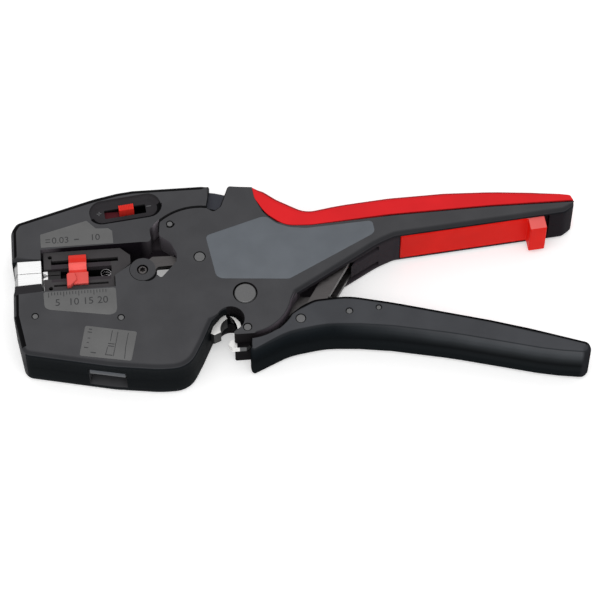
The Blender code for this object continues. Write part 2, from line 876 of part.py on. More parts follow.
def cutter():
    pivot = empty("cutter_axis", *CUTTER_PIVOT, MID, TOOL)
    anvil = solid("cutter_anvil", anvil_outline(), ANVIL_LOW, CUTTER_LOW - GAP)
    steel(anvil)
    points = arc(CUTTER_PIVOT, CUTTER_BOSS, 118.0, 325.0, 12.0)
    points += bend(
        (
            (-29.3, 13.2, 0.8),
            (-28.2, 14.4, 0.8),
            (-19.6, 14.7),
            (-19.2, 16.2, 0.8),
            (-23.6, 18.2, 0.8),
            (-30.0, 18.4, 0.8),
            (-33.0, 15.6),
        )
    )
    blade = solid("cutter_blade", points, CUTTER_LOW, CUTTER_LOW + CUTTER_THICK)
    boss = circle(CUTTER_PIVOT, CUTTER_BOSS, 28)
    add(blade, boss, CUTTER_LOW + 0.5, THICKNESS - 0.1, "boss", 0.4)
    cut(blade, circle(CUTTER_PIVOT, CUTTER_SCREW + PIN_GAP), CUTTER_LOW - 1.0, THICKNESS + 1.0, "bore")
    smooth(blade)
    steel(blade)
    carry(blade, pivot)
    screw = turned_pin(
        "cutter_screw",
        CUTTER_PIVOT,
        ((CUTTER_SCREW, 0.4), (CUTTER_SCREW, THICKNESS - 0.5), (CUTTER_SCREW - 0.3, THICKNESS - 0.2)),
        20,
    )
    socket = [
        (
            CUTTER_PIVOT[0] + (1.05 if i % 2 else 0.72) * math.cos(TAU * i / 12),
            CUTTER_PIVOT[1] + (1.05 if i % 2 else 0.72) * math.sin(TAU * i / 12),
            0.0,
        )
        for i in range(12)
    ]
    cut(screw, socket, THICKNESS - 2.0, THICKNESS + 1.0, "socket")
    smooth(screw)
    steel(screw)


# Upper jaw


def upper_jaw():
    axis = empty("upper_jaw_axis", *JAW_PIVOT, MID, TOOL)
    core_low, core_high = CORE_LOW - GAP, CORE_LOW + CORE_THICK + GAP
    arm_seat = arm_outline(GAP)
    dial = stadium(DIAL_CENTRE, DIAL_HALF_LENGTH, DIAL_HALF_WIDTH, DIAL_TURN_DEG, 15.0, 1.0)
    slot = turned(
        rounded_box(
            DIAL_CENTRE[0] - DIAL_SLOT_LENGTH / 2.0,
            DIAL_CENTRE[1] - DIAL_SLOT_WIDTH / 2.0,
            DIAL_CENTRE[0] + DIAL_SLOT_LENGTH / 2.0,
            DIAL_CENTRE[1] + DIAL_SLOT_WIDTH / 2.0,
            0.3,
        ),
        DIAL_CENTRE,
        DIAL_TURN_DEG,
    )
    for name, low, high, front in (
        ("upper_jaw_front", MID + GAP / 2.0, THICKNESS, True),
        ("upper_jaw_rear", 0.0, MID - GAP / 2.0, False),
    ):
        rounding = (0.0, EDGE_ROUND) if front else (EDGE_ROUND, 0.0)
        obj = solid(name, upper_jaw_outline(), low, high, *rounding)
        cut(obj, arm_seat, core_low, core_high, "arm_seat")
        guide = sector(JAW_PIVOT, JAW_ARC - 1.0, GUIDE_RADIUS + GAP, 70.0, 92.0 + 1.0)
        cut(obj, guide, MID - GUIDE_DEPTH / 2.0 - GAP, MID + GUIDE_DEPTH / 2.0 + GAP, "guide_seat")
        if front:
            recess = solid("dial_recess", dial, THICKNESS - DIAL_DEPTH, THICKNESS + 1.0, DIAL_DISH)
            join(obj, recess, "DIFFERENCE")
            cut(obj, slot, MID, THICKNESS, "dial_slot")
            room = rounded_box(
                DIAL_CENTRE[0] - PLATE_LEFT - DIAL_TRAVEL - 0.6,
                DIAL_CENTRE[1] - DIAL_HALF_WIDTH + 1.0,
                DIAL_CENTRE[0] + DIAL_HALF_LENGTH + 1.0,
                DIAL_CENTRE[1] + DIAL_HALF_WIDTH - 1.0,
                0.8,
            )
            cut(obj, turned(room, DIAL_CENTRE, DIAL_TURN_DEG), MID, THICKNESS - DIAL_DEPTH - DIAL_FLOOR, "dial_room")
        else:
            cut(obj, sector(JAW_PIVOT, ARM_HUB, JAW_ARC, 141.0, 166.0), -1.0, high + 1.0, "web_room")
        smooth(obj)
        dark_plastic(obj)
        carry(obj, axis)
    arm = solid("jaw_arm", arm_outline(0.0), CORE_LOW, CORE_LOW + CORE_THICK)
    guide = sector(JAW_PIVOT, JAW_ARC + 0.6, GUIDE_RADIUS, 68.0, 92.0)
    add(arm, guide, MID - GUIDE_DEPTH / 2.0, MID + GUIDE_DEPTH / 2.0, "guide")
    cut(arm, circle(JAW_PIVOT, JAW_PIN + PIN_GAP), 0.0, THICKNESS, "bore")
    smooth(arm)
    steel(arm)
    carry(arm, axis)
    jaw = grip_jaw("grip_jaw_upper", STRIP_AXIS_Y + GAP / 2.0, JAW_SEAT_TOP, False)
    carry(jaw, axis)
    return axis


def arm_outline(clearance):
    """Steel arm from the jaw's pivot, past the arc and into the jaw."""
    high = ARM_ANGLE_HIGH + math.degrees(clearance / JAW_ARC)
    low = ARM_ANGLE_LOW - math.degrees(clearance / JAW_ARC)
    points = arc(JAW_PIVOT, GUIDE_RADIUS + clearance, low, high, 8.0)
    points += arc(JAW_PIVOT, ARM_HUB + clearance, high + 30.0, low - 30.0 + 360.0, 15.0)
    return points


def depth_adjuster():
    """Red slider for the stripping depth: a ribbed knob on a plate under the slot."""
    turn = math.radians(DIAL_TURN_DEG)
    centre = (
        DIAL_CENTRE[0] + KNOB_ALONG * math.cos(turn) - KNOB_ACROSS * math.sin(turn),
        DIAL_CENTRE[1] + KNOB_ALONG * math.sin(turn) + KNOB_ACROSS * math.cos(turn),
    )
    axis = empty("depth_adjuster_slide", *centre, MID, TOOL)
    left, right = centre[0] - KNOB_LENGTH / 2.0, centre[0] + KNOB_LENGTH / 2.0
    front, back = centre[1] - KNOB_WIDTH / 2.0, centre[1] + KNOB_WIDTH / 2.0
    knob = turned(box(left, front, right, back), centre, DIAL_TURN_DEG)
    obj = solid("depth_adjuster", knob, MID + 2.0, KNOB_TOP)
    plate = turned(
        box(centre[0] - PLATE_LEFT, front - 1.0, centre[0] + PLATE_RIGHT, back + 0.6), centre, DIAL_TURN_DEG
    )
    add(obj, plate, MID + 0.6, THICKNESS - DIAL_DEPTH - DIAL_FLOOR - GAP, "plate")
    for i in range(KNOB_RIBS - 1):
        x = left + KNOB_LENGTH * (i + 1) / KNOB_RIBS
        notch = turned(box(x - 0.12, front - 1.0, x + 0.12, back + 1.0), centre, DIAL_TURN_DEG)
        cut(obj, notch, KNOB_TOP - 0.3, KNOB_TOP + 1.0, "rib_%d" % i)
    red_plastic(obj)
    carry(obj, axis)


# Stripping cartridge


def blade_cartridge():
    """Exchangeable cartridge that guides the stripping blades."""
    low, high = CART_INSET, THICKNESS - CART_INSET
    points = [
        (CART_LEFT_X, CART_LOW_Y, 0.0),
        (CART_RIGHT_X, CART_LOW_Y, 0.0),
        (CART_RIGHT_X, 10.6, 0.0),
        (CART_TIP_X - 0.4, 15.4, 0.0),
        (CART_TIP_X - 0.4, 18.6, 0.0),
        (-40.6, CART_HIGH_Y, 0.0),
        (CART_LEFT_X, CART_HIGH_Y, 0.0),
    ]
    obj = solid("blade_cartridge", points, low, high, 0.3, 0.3, 1)
    half = CHANNEL_WIDTH / 2.0
    channel = box(CART_LEFT_X - 1.0, STRIP_AXIS_Y - half, CART_RIGHT_X - CHANNEL_END, STRIP_AXIS_Y + half)
    cut(obj, channel, CHANNEL_FLOOR, THICKNESS, "channel")
    slot = box(CART_LEFT_X + 3.2, 17.2, CART_RIGHT_X + 1.5, 18.2)
    cut(obj, slot, high - 3.5, THICKNESS, "upper_slot")
    lower = box(CART_LEFT_X + 3.2, 8.2, CART_RIGHT_X - 2.0, 8.9)
    cut(obj, lower, high - 3.5, THICKNESS, "lower_slot")
    for i, y in enumerate((19.6, 7.6)):
        cut(obj, circle((CART_LEFT_X + 2.1, y), 0.7, 16), high - 3.0, THICKNESS, "pin_hole_%d" % i)
    for i, room in enumerate(rod_sweeps(0.4)[:2]):
        cut(obj, room, CHANNEL_FLOOR, ROD_LOW + ROD_THICK + GAP, "rod_room_%d" % i)
    black_plastic(obj)


def stripping_blade(name, side, slide):
    """One of the two blades, with a sloped edge that makes half of the V mouth."""
    y = STRIP_AXIS_Y
    half = CHANNEL_WIDTH / 2.0 - GAP
    left = CART_LEFT_X + BLADE_INSET
    points = [
        (left, y + side * 0.9, 0.0),
        (left + 1.1, y + side * GAP / 2.0, 0.0),
        (left + BLADE_LENGTH, y + side * GAP / 2.0, 0.0),
        (left + BLADE_LENGTH, y + side * half, 0.0),
        (left, y + side * half, 0.0),
    ]
    obj = solid(name, points, CHANNEL_FLOOR + GAP, THICKNESS - CART_INSET - 0.8)
    bright_steel(obj)
    carry(obj, slide)


def carriage():
    """Draw rod with the carriage that pulls both blades along the channel."""
    slide = empty("carriage_slide", CART_LEFT_X, STRIP_AXIS_Y, MID, TOOL)
    line = rod_line()
    rod = solid("draw_rod", bar(line[0], line[1], ROD_WIDTH / 2.0), ROD_LOW, ROD_LOW + ROD_THICK)
    for i in (1, 2):
        add(rod, bar(line[i], line[i + 1], ROD_WIDTH / 2.0), ROD_LOW, ROD_LOW + ROD_THICK, "run_%d" % i)
    left = CART_LEFT_X + BLADE_INSET + BLADE_LENGTH + GAP
    half = CHANNEL_WIDTH / 2.0 - GAP
    block = box(left, STRIP_AXIS_Y - half, left + CARRIAGE_LENGTH, STRIP_AXIS_Y + half)
    add(rod, block, CHANNEL_FLOOR + GAP, MID + 3.2, "carriage")
    tail = box(left + CARRIAGE_LENGTH - 1.0, STRIP_AXIS_Y - 1.2, line[0][0] + 1.0, STRIP_AXIS_Y + 1.2)
    add(rod, tail, ROD_LOW, ROD_LOW + ROD_THICK, "tail")
    eye = circle((LINK_HEAD[0] + 0.3, LINK_HEAD[1]), ROD_EYE)
    add(rod, eye, ROD_LOW, ROD_LOW + ROD_THICK, "eye")
    slot = stadium((LINK_HEAD[0] + 0.45, LINK_HEAD[1]), 0.45, LINK_PIN + 0.5, 0.0)
    cut(rod, slot, 0.0, THICKNESS, "eye_slot")
    steel(rod)
    carry(rod, slide)
    stripping_blade("blade_upper", 1.0, slide)
    stripping_blade("blade_lower", -1.0, slide)


def cartridge_spring():
    """Coil spring that stands at the channel's right end, above the draw rod."""
    low = ROD_LOW + ROD_THICK + GAP + SPRING_WIRE
    around = 10
    sides = 6
    bm = bmesh.new()
    loops = []
    pitch = (SPRING_TOP - SPRING_WIRE - low) / SPRING_TURNS
    for i in range(SPRING_TURNS * around + 1):
        turn = TAU * i / around
        out = Vector((math.cos(turn), math.sin(turn), 0.0))
        centre = Vector((*SPRING_CENTRE, low + pitch * i / around)) + out * SPRING_RADIUS
        loop = []
        for k in range(sides):
            angle = TAU * k / sides
            at = centre + (out * math.cos(angle) + Vector((0.0, 0.0, 1.0)) * math.sin(angle)) * SPRING_WIRE
            loop.append(bm.verts.new(at * MM))
        loops.append(loop)
    for low_loop, high_loop in zip(loops, loops[1:]):
        for k in range(sides):
            j = (k + 1) % sides
            bm.faces.new((low_loop[k], low_loop[j], high_loop[j], high_loop[k]))
    bm.faces.new(loops[0][::-1])
    bm.faces.new(loops[-1])
    bmesh.ops.recalc_face_normals(bm, faces=bm.faces)
    obj = from_bmesh("cartridge_spring", bm)
    smooth(obj)
    bright_steel(obj)


def length_stop():
    """Red saddle that sets the stripping length, with a pointer for the scale."""
    slide = empty("length_stop_slide", STOP_LEFT_X, STRIP_AXIS_Y, THICKNESS, TOOL)
    top = THICKNESS - CART_INSET
    low = top + GAP
    left, right = STOP_LEFT_X, STOP_LEFT_X + STOP_WIDTH
    obj = solid("length_stop", box(left, 8.0, right, 19.2), low, low + STOP_THICKNESS)
    hump = box(left, STRIP_AXIS_Y - 0.6, right, 18.6)
    add(obj, hump, low + 0.3, low + STOP_THICKNESS + 0.7, "hump", 0.0)
    pointer = bend(((left - 1.1, 12.6), (left - 1.1, 7.2), (left + 0.2, 7.2), (left + 2.6, 9.6), (left + 2.4, 12.0), (left + 0.6, 12.6)))
    add(obj, pointer, low, low + STOP_THICKNESS + 0.9, "pointer")
    foot = box(left + 0.4, STRIP_AXIS_Y - 1.5, right - 0.4, STRIP_AXIS_Y + 1.5)
    add(obj, foot, THICKNESS - CART_INSET - 0.8 + GAP, low + 0.4, "foot")
    red_plastic(obj)
    carry(obj, slide)


def slot_leaf():
    """Bent spring leaf that latches the cartridge, seen in the slot of the bottom wall."""
    centre = (-47.0, -24.0)
    points = bend(
        (
            (-53.0, -20.2),
            (-53.0, -21.6),
            (-47.2, -21.6),
            (-46.0, -23.4),
            (-41.2, -23.4),
            (-41.2, -22.4),
            (-45.4, -22.4),
            (-46.6, -20.2),
        )
    )
    high = LEAF_SLOT_HIGH - GAP
    obj = solid("latch_leaf", turned(points, centre, -12.5), high - LEAF_HEIGHT, high)
    steel(obj)


# Crimper


def fixed_die_outline(clearance):
    """Steel plate held between the housing halves, whose end closes the crimp mouth."""
    return [
        (-6.7 - clearance, -15.8, 0.0),
        (-5.4, -17.1 - clearance, 0.0),
        (-0.8, -17.1 - clearance, 0.0),
        (2.4 + clearance, -14.6, 0.0),
        (2.4 + clearance, -11.4 + clearance, 0.0),
        (-1.4, -11.3 + clearance, 0.0),
        (-2.6, -12.6 + clearance, 0.0),
        (-4.4, -14.0 + clearance, 0.0),
        (-5.9 - clearance, -14.1 + clearance, 0.0),
    ]


def crimp_dies(axis):
    die = solid("crimp_die_fixed", fixed_die_outline(0.0), FIXED_DIE_LOW, FIXED_DIE_LOW + FIXED_DIE_THICK)
    cut(die, circle(DIE_PIN, DIE_PIN_RADIUS + PIN_GAP, 16), 0.0, THICKNESS, "pin_hole")
    steel(die)
    face = moving_die_outline()
    obj = solid("crimp_die_moving", face, CORE_LOW - 2.2, CORE_LOW + CORE_THICK)
    smooth(obj)
    bright_steel(obj)
    carry(obj, axis)


def moving_die_outline():
    """The moving die's concave face hugs the crimp mouth."""
    points = arc((CRIMP_CENTRE[0] + 0.6, CRIMP_CENTRE[1] - 0.6), CRIMP_RADIUS - 0.6, 112.0, 196.0, 12.0)
    points += [
        (-11.2, -12.2, 0.0),
        (-12.3, -11.4, 0.0),
        (-10.4, -6.2, 0.0),
        (-9.8, -4.6, 0.0),
        (-7.4, -3.4, 0.0),
    ]
    return points


# Handles


def handle_core_outline():
    """Steel lever: hub, short arm to the moving die and a long tongue into the lower handle."""
    points = arc((0.0, 0.0), CORE_HUB, 40.0, 196.0, 14.0)
    points += [(-9.2, -3.0, 0.0), (-7.2, -3.1, 0.0), (-6.0, -4.3, 0.0)]
    points += arc((0.0, 0.0), CORE_HUB, 222.0, 268.0, 14.0)
    points += bend(
        (
            (3.0, -7.0),
            (7.0, -8.6),
            (17.0, -13.2, 4.0),
            (46.0, -12.8, 2.0),
            (49.0, -10.4, 1.2),
            (46.0, -8.0, 2.0),
            (34.0, -6.4, 10.0),
            (29.4, -0.9, 2.0),
            (19.0, 0.0, 3.0),
            (9.0, 3.6),
        )
    )
    return points


def lower_handle():
    axis = empty("handle_axis", 0.0, 0.0, MID, TOOL)
    core = solid("handle_core", handle_core_outline(), CORE_LOW, CORE_LOW + CORE_THICK)
    cut(core, circle((0.0, 0.0), MAIN_BOLT + PIN_GAP, 32), 0.0, THICKNESS, "bore")
    for i, at in enumerate((HANDLE_PIN,) + HANDLE_SCREWS + (LINK_FOOT,)):
        radius = (1.5, 1.0, 0.8, LINK_PIN)[i] + PIN_GAP
        cut(core, circle(at, radius, 16), 0.0, THICKNESS, "hole_%d" % i)
    steel(core)
    carry(core, axis)
    seat = [(p[0], p[1], 0.0) for p in handle_core_outline()]
    for name, low, high, front in (
        ("handle_shell_front", MID + GAP / 2.0, THICKNESS, True),
        ("handle_shell_rear", 0.0, MID - GAP / 2.0, False),
    ):
        rounding = (0.0, HANDLE_ROUND) if front else (HANDLE_ROUND, 0.0)
        obj = solid(name, lower_handle_outline(), low, high, *rounding)
        pocket = grown(seat, GAP)
        cut(obj, pocket, CORE_LOW - GAP, CORE_LOW + CORE_THICK + GAP, "core_seat")
        mouth = circle(LINK_FOOT, LINK_HALF_WIDTH + 0.6)
        rest, closed = link_angles()
        for angle in (rest + 6.0, closed - 6.0):
            reach = Vector((math.cos(math.radians(angle)), math.sin(math.radians(angle)))) * 12.0
            mouth += shifted(circle(LINK_FOOT, LINK_HALF_WIDTH + 0.6), reach.x, reach.y)
        cut(obj, hull(mouth), 2.0, THICKNESS - 2.0, "link_mouth")
        cut(obj, circle(HANDLE_PIN, 1.5 + PIN_GAP, 16), -1.0, THICKNESS + 1.0, "pin_hole")
        for i, at in enumerate(HANDLE_SCREWS):
            radius = (1.0, 0.8)[i] + PIN_GAP
            cut(obj, circle(at, radius, 16), -1.0, THICKNESS + 1.0, "screw_hole_%d" % i)
        smooth(obj)
        black_plastic(obj)
        carry(obj, axis)
    pin = turned_pin("handle_pin", HANDLE_PIN, ((1.5, 0.2), (1.5, THICKNESS - 0.2)), 20)
    smooth(pin)
    steel(pin)
    carry(pin, axis)
    for i, (at, radius) in enumerate(zip(HANDLE_SCREWS, (1.0, 0.8))):
        pin = turned_pin("handle_screw_%d" % (i + 1), at, ((radius, 0.4), (radius, THICKNESS - 0.3)), 16)
        smooth(pin)
        steel(pin)
        carry(pin, axis)
    return axis


def grown(points, distance):
    """The outline moved outwards by a clearance."""
    points = cleaned(points)
    steps = inward(points)
    return [(p[0] - s.x * distance, p[1] - s.y * distance, 0.0) for p, s in zip(points, steps)]


def links():
    """Two link plates and their pins, from the lower handle to the draw rod."""
    axis = empty("link_axis", *LINK_FOOT, MID, TOOL)
    reach = Vector(LINK_HEAD) - Vector(LINK_FOOT)
    angle = math.degrees(math.atan2(reach.y, reach.x))
    middle = (Vector(LINK_FOOT) + Vector(LINK_HEAD)) / 2.0
    outline = stadium(middle, reach.length / 2.0, LINK_HALF_WIDTH, angle, 20.0)
    for name, low in (("link_front", LINK_FRONT_LOW), ("link_rear", LINK_REAR_LOW)):
        obj = solid(name, outline, low, low + LINK_THICK)
        for i, at in enumerate((LINK_FOOT, LINK_HEAD)):
            cut(obj, circle(at, LINK_PIN + PIN_GAP, 16), low - 1.0, low + LINK_THICK + 1.0, "eye_%d" % i)
        steel(obj)
        carry(obj, axis)
    for name, at in (("link_pin_lower", LINK_FOOT), ("link_pin_upper", LINK_HEAD)):
        ends = ((LINK_PIN, LINK_REAR_LOW - 0.1), (LINK_PIN, LINK_FRONT_LOW + LINK_THICK + 0.1))
        obj = turned_pin(name, at, ends, 16)
        smooth(obj)
        steel(obj)
        carry(obj, axis)


# Handle lock


def lock_bar_outline(clearance):
    """Groove of the locking slide along the underside of the upper handle."""
    start, end = Vector(STRIP_START), Vector(STRIP_END)
    along = (end - start).normalized()
    up = Vector((-along.y, along.x))
    low = start - along * clearance - up * 3.0
    right = end + along * (TAB_LENGTH + LOCK_TRAVEL + clearance)
    points = [
        low,
        right - up * 3.0,
        right + up * (LOCK_THICK + clearance),
        start - along * clearance + up * (LOCK_THICK + clearance),
    ]
    return [(p.x, p.y, 0.0) for p in points]


def lock_slider():
    """Red locking slide: a flat strip in its groove, with a hooked tab for the thumb."""
    start, end = Vector(STRIP_START), Vector(STRIP_END)
    along = (end - start).normalized()
    up = Vector((-along.y, along.x))
    slide = empty("lock_slide", STRIP_START[0], STRIP_START[1], MID, TOOL)
    strip = [start, end + along * TAB_LENGTH, end + along * TAB_LENGTH + up * LOCK_THICK, start + up * LOCK_THICK]
    points = [(p.x, p.y, 0.0) for p in strip]
    low, high = MID - LOCK_WIDTH / 2.0, MID + LOCK_WIDTH / 2.0
    obj = solid("lock_slider", points, low, high)
    tab = [end, end - up * TAB_HEIGHT, end + along * TAB_LENGTH - up * TAB_HEIGHT, end + along * TAB_LENGTH]
    tab[0] = tab[0] + up * 0.5
    tab[3] = tab[3] + up * 0.5
    join(obj, solid("lock_slider_tab", [(p.x, p.y, 0.0) for p in tab], low, high, 0.0, 0.0), "UNION")
    red_plastic(obj)
    carry(obj, slide)


clear_scene()
TOOL = empty("tool", -ORIGIN_X, -ORIGIN_Y, 0.0)
housing()
grip_insert()
grip_jaw("grip_jaw_lower", JAW_SEAT_LOW, STRIP_AXIS_Y - GAP / 2.0, True)
fasteners()
cutter()
upper_jaw()
depth_adjuster()
blade_cartridge()
carriage()
cartridge_spring()
length_stop()
slot_leaf()
crimp_dies(lower_handle())
links()
lock_slider()
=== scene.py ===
import json
import math

import bmesh
import bpy
import numpy as np
from mathutils import Matrix, Vector

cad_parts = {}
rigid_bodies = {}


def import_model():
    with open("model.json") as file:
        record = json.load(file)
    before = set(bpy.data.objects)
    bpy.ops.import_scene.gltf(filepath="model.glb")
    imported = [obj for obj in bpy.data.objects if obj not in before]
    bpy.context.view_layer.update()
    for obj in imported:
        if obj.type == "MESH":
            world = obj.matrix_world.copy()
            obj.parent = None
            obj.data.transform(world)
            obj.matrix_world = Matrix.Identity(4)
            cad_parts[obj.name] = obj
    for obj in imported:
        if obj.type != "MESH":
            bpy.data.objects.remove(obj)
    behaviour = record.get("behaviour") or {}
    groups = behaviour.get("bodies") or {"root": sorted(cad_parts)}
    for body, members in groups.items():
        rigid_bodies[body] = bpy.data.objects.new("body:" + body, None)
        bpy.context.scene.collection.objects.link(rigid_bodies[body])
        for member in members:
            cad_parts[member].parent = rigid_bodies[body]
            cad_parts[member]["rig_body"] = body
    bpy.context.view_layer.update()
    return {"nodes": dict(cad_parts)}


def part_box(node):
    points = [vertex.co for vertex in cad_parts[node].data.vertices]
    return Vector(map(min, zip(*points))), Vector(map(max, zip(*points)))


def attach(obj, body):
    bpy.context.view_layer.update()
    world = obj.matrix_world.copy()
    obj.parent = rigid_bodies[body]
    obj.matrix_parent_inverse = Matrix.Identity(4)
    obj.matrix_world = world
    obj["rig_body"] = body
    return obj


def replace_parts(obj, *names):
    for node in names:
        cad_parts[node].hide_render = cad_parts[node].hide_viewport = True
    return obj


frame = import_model()


# Housing: two moulded halves of glass-filled nylon, riveted together round the mechanism.
# Their flat faces are spark-eroded to a fine grey grain, and their walls and recesses are
# painted darker towards the seam and with depth, as painted shade. Lengths here are in mm
# from the centre of the main bolt.

MM = 0.001
FACE_HEIGHT = 18.0
SOLID_SEAM = 0.15
CLOSED_SEAM = 0.02
SHARP = math.radians(32.0)
FAR_SIDE = Vector((-0.35, 0.94))
LOOKS_AWAY = 0.1
bolt_low, bolt_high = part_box("main_pivot_bolt")
BOLT = Vector(((bolt_low.x + bolt_high.x) / 2.0, (bolt_low.y + bolt_high.y) / 2.0, 0.0))


def far_edges(shape, outer):
    """Edges between the front face and a wall that looks to the left or the back, where a rule
    on the plan in mm from the bolt says that the wall is an outer one."""
    found = []
    for line in shape.edges:
        level = all(abs(end.co.z - FACE_HEIGHT * MM) < 1e-5 for end in line.verts)
        walls = [side for side in line.link_faces if abs(side.normal.z) < 0.2]
        flats = [side for side in line.link_faces if side.normal.z > 0.99]
        if level and len(walls) == 1 and len(flats) == 1:
            middle = (line.verts[0].co + line.verts[1].co) / 2.0 - BOLT
            away = walls[0].normal.xy.normalized().dot(FAR_SIDE) > LOOKS_AWAY
            if away and outer(middle.x / MM, middle.y / MM):
                found.append(line)
    return found


def dressed(name, node, finish, edge=0.0, rim=None, eased=0.0, outer=None):
    """A new piece with the shape of a CAD node: its corners merged, its flat faces made whole,
    edges sharper than 32 degrees kept sharp, and normals weighted by face area. A half's face
    on the seam moves up to 0.02 mm from the middle plane. A width in mm rounds the sharp edges
    with a bevel of two segments, except those on the seam. The far outer edges can be eased by
    a width of their own, and slopes that look away can have a darker rim finish, which paints
    shade on them."""
    mesh = bpy.data.meshes.new(name)
    shape = bmesh.new()
    shape.from_mesh(frame["nodes"][node].data)
    bmesh.ops.remove_doubles(shape, verts=shape.verts[:], dist=1e-6)
    bmesh.ops.dissolve_limit(
        shape, angle_limit=math.radians(0.5), verts=shape.verts[:], edges=shape.edges[:]
    )
    if eased:
        bmesh.ops.bevel(
            shape,
            geom=far_edges(shape, outer),
            offset=eased * MM,
            offset_type="OFFSET",
            segments=2,
            profile=0.5,
            affect="EDGES",
            clamp_overlap=False,
        )
        shape.normal_update()
    middle = FACE_HEIGHT * MM / 2.0
    seam = [v for v in shape.verts if abs(abs(v.co.z - middle) - SOLID_SEAM * MM) < 0.01 * MM]
    for corner in seam:
        corner.co.z = middle + math.copysign(CLOSED_SEAM * MM, corner.co.z - middle)
    closed = set(seam)
    bevelled = shape.edges.layers.float.new("bevel_weight_edge")
    for line in shape.edges:
        sharp = line.is_manifold and line.calc_face_angle() > SHARP
        line[bevelled] = float(sharp and not closed.issuperset(line.verts))
    shape.to_mesh(mesh)
    shape.free()
    mesh.shade_smooth()
    mesh.set_sharp_from_angle(angle=SHARP)
    mesh.materials.clear()
    mesh.materials.append(finish)
    piece = bpy.data.objects.new(name, mesh)
    bpy.context.scene.collection.objects.link(piece)
    if rim:
        recoloured(piece, rim, slopes_away)
    if edge:
        rounding = piece.modifiers.new("broken_edges", "BEVEL")
        rounding.width = edge * MM
        rounding.segments = 2
        rounding.limit_method = "WEIGHT"
        rounding.harden_normals = True
    weighting = piece.modifiers.new("flat_faces", "WEIGHTED_NORMAL")
    weighting.keep_sharp = True
    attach(piece, frame["nodes"][node]["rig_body"])
    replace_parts(piece, node)
    return piece


def recoloured(piece, finish, rule):
    """Gives a second finish to the faces that a rule picks from the arrays of their middles,
    in mm from the bolt, and their normals."""
    sides = piece.data.polygons
    middles, normals = np.empty(len(sides) * 3), np.empty(len(sides) * 3)
    sides.foreach_get("center", middles)
    sides.foreach_get("normal", normals)
    picked = rule((middles.reshape(-1, 3) - np.array(BOLT)) / MM, normals.reshape(-1, 3))
    slots = np.zeros(len(sides), np.int32)
    sides.foreach_get("material_index", slots)
    slots[picked] = len(piece.data.materials)
    piece.data.materials.append(finish)
    sides.foreach_set("material_index", slots)


def slopes_away(middles, normals):
    """True for slopes up to the front face that look to the left or the back. The rim finishes
    paint shade on them.
    """
    level = np.linalg.norm(normals[:, :2], axis=1)
    away = normals[:, :2] @ np.array(FAR_SIDE) > LOOKS_AWAY * level
    return away & (normals[:, 2] > 0.1) & (normals[:, 2] < 0.985) & (middles[:, 2] > 12.0)


def within(points, corners):
    """True for points of the plan inside a closed outline, where a line to the right of the
    point crosses the outline an odd number of times."""
    corner = np.array(corners, float)
    after = np.roll(corner, -1, 0)
    x, y = points[:, 0, None], points[:, 1, None]
    crosses = (corner[:, 1] > y) != (after[:, 1] > y)
    rise = np.where(after[:, 1] == corner[:, 1], 1e-9, after[:, 1] - corner[:, 1])
    meets = corner[:, 0] + (y - corner[:, 1]) * (after[:, 0] - corner[:, 0]) / rise
    return (crosses & (x < meets)).sum(1) % 2 == 1


def new_finish(name, roughness, specular=0.5, metallic=0.0):
    """A material whose shader has its even values set. Returns it with its node tree, its
    shader and the piece's own coordinates."""
    finish = bpy.data.materials.new(name)
    finish.use_nodes = True
    tree = finish.node_tree
    shader = tree.nodes["Principled BSDF"]
    shader.inputs["Roughness"].default_value = roughness
    shader.inputs["Specular IOR Level"].default_value = specular
    shader.inputs["Metallic"].default_value = metallic
    return finish, tree, shader, tree.nodes.new("ShaderNodeTexCoord").outputs["Object"]


def cloud(tree, place, scale, detail=3.0):
    """Noise with that many lumps per metre, from the piece's coordinates."""
    noise = tree.nodes.new("ShaderNodeTexNoise")
    noise.inputs["Scale"].default_value = scale
    noise.inputs["Detail"].default_value = detail
    tree.links.new(place, noise.inputs["Vector"])
    return noise.outputs["Fac"]


def spread(tree, source, low, high, to_low, to_high):
    """Stretches a value's range low to high onto to_low to to_high, and stops at its ends."""
    stretch = tree.nodes.new("ShaderNodeMapRange")
    for socket, value in (
        ("From Min", low),
        ("From Max", high),
        ("To Min", to_low),
        ("To Max", to_high),
    ):
        stretch.inputs[socket].default_value = value
    tree.links.new(source, stretch.inputs["Value"])
    return stretch.outputs["Result"]


def blended(tree, share, first, second):
    """A colour that goes from first to second by a share, each a colour or another output."""
    mix = tree.nodes.new("ShaderNodeMix")
    mix.data_type = "RGBA"
    tree.links.new(share, mix.inputs["Factor"])
    for socket, colour in ((mix.inputs[6], first), (mix.inputs[7], second)):
        if isinstance(colour, bpy.types.NodeSocket):
            tree.links.new(colour, socket)
        else:
            socket.default_value = (*colour, 1.0)
    return mix.outputs[2]


def grained(tree, shader, height, depth):
    """Raises the surface by a height output times a depth in mm."""
    bump = tree.nodes.new("ShaderNodeBump")
    bump.inputs["Strength"].default_value = 0.6
    bump.inputs["Distance"].default_value = depth * MM
    tree.links.new(height, bump.inputs["Height"])
    tree.links.new(bump.outputs["Normal"], shader.inputs["Normal"])


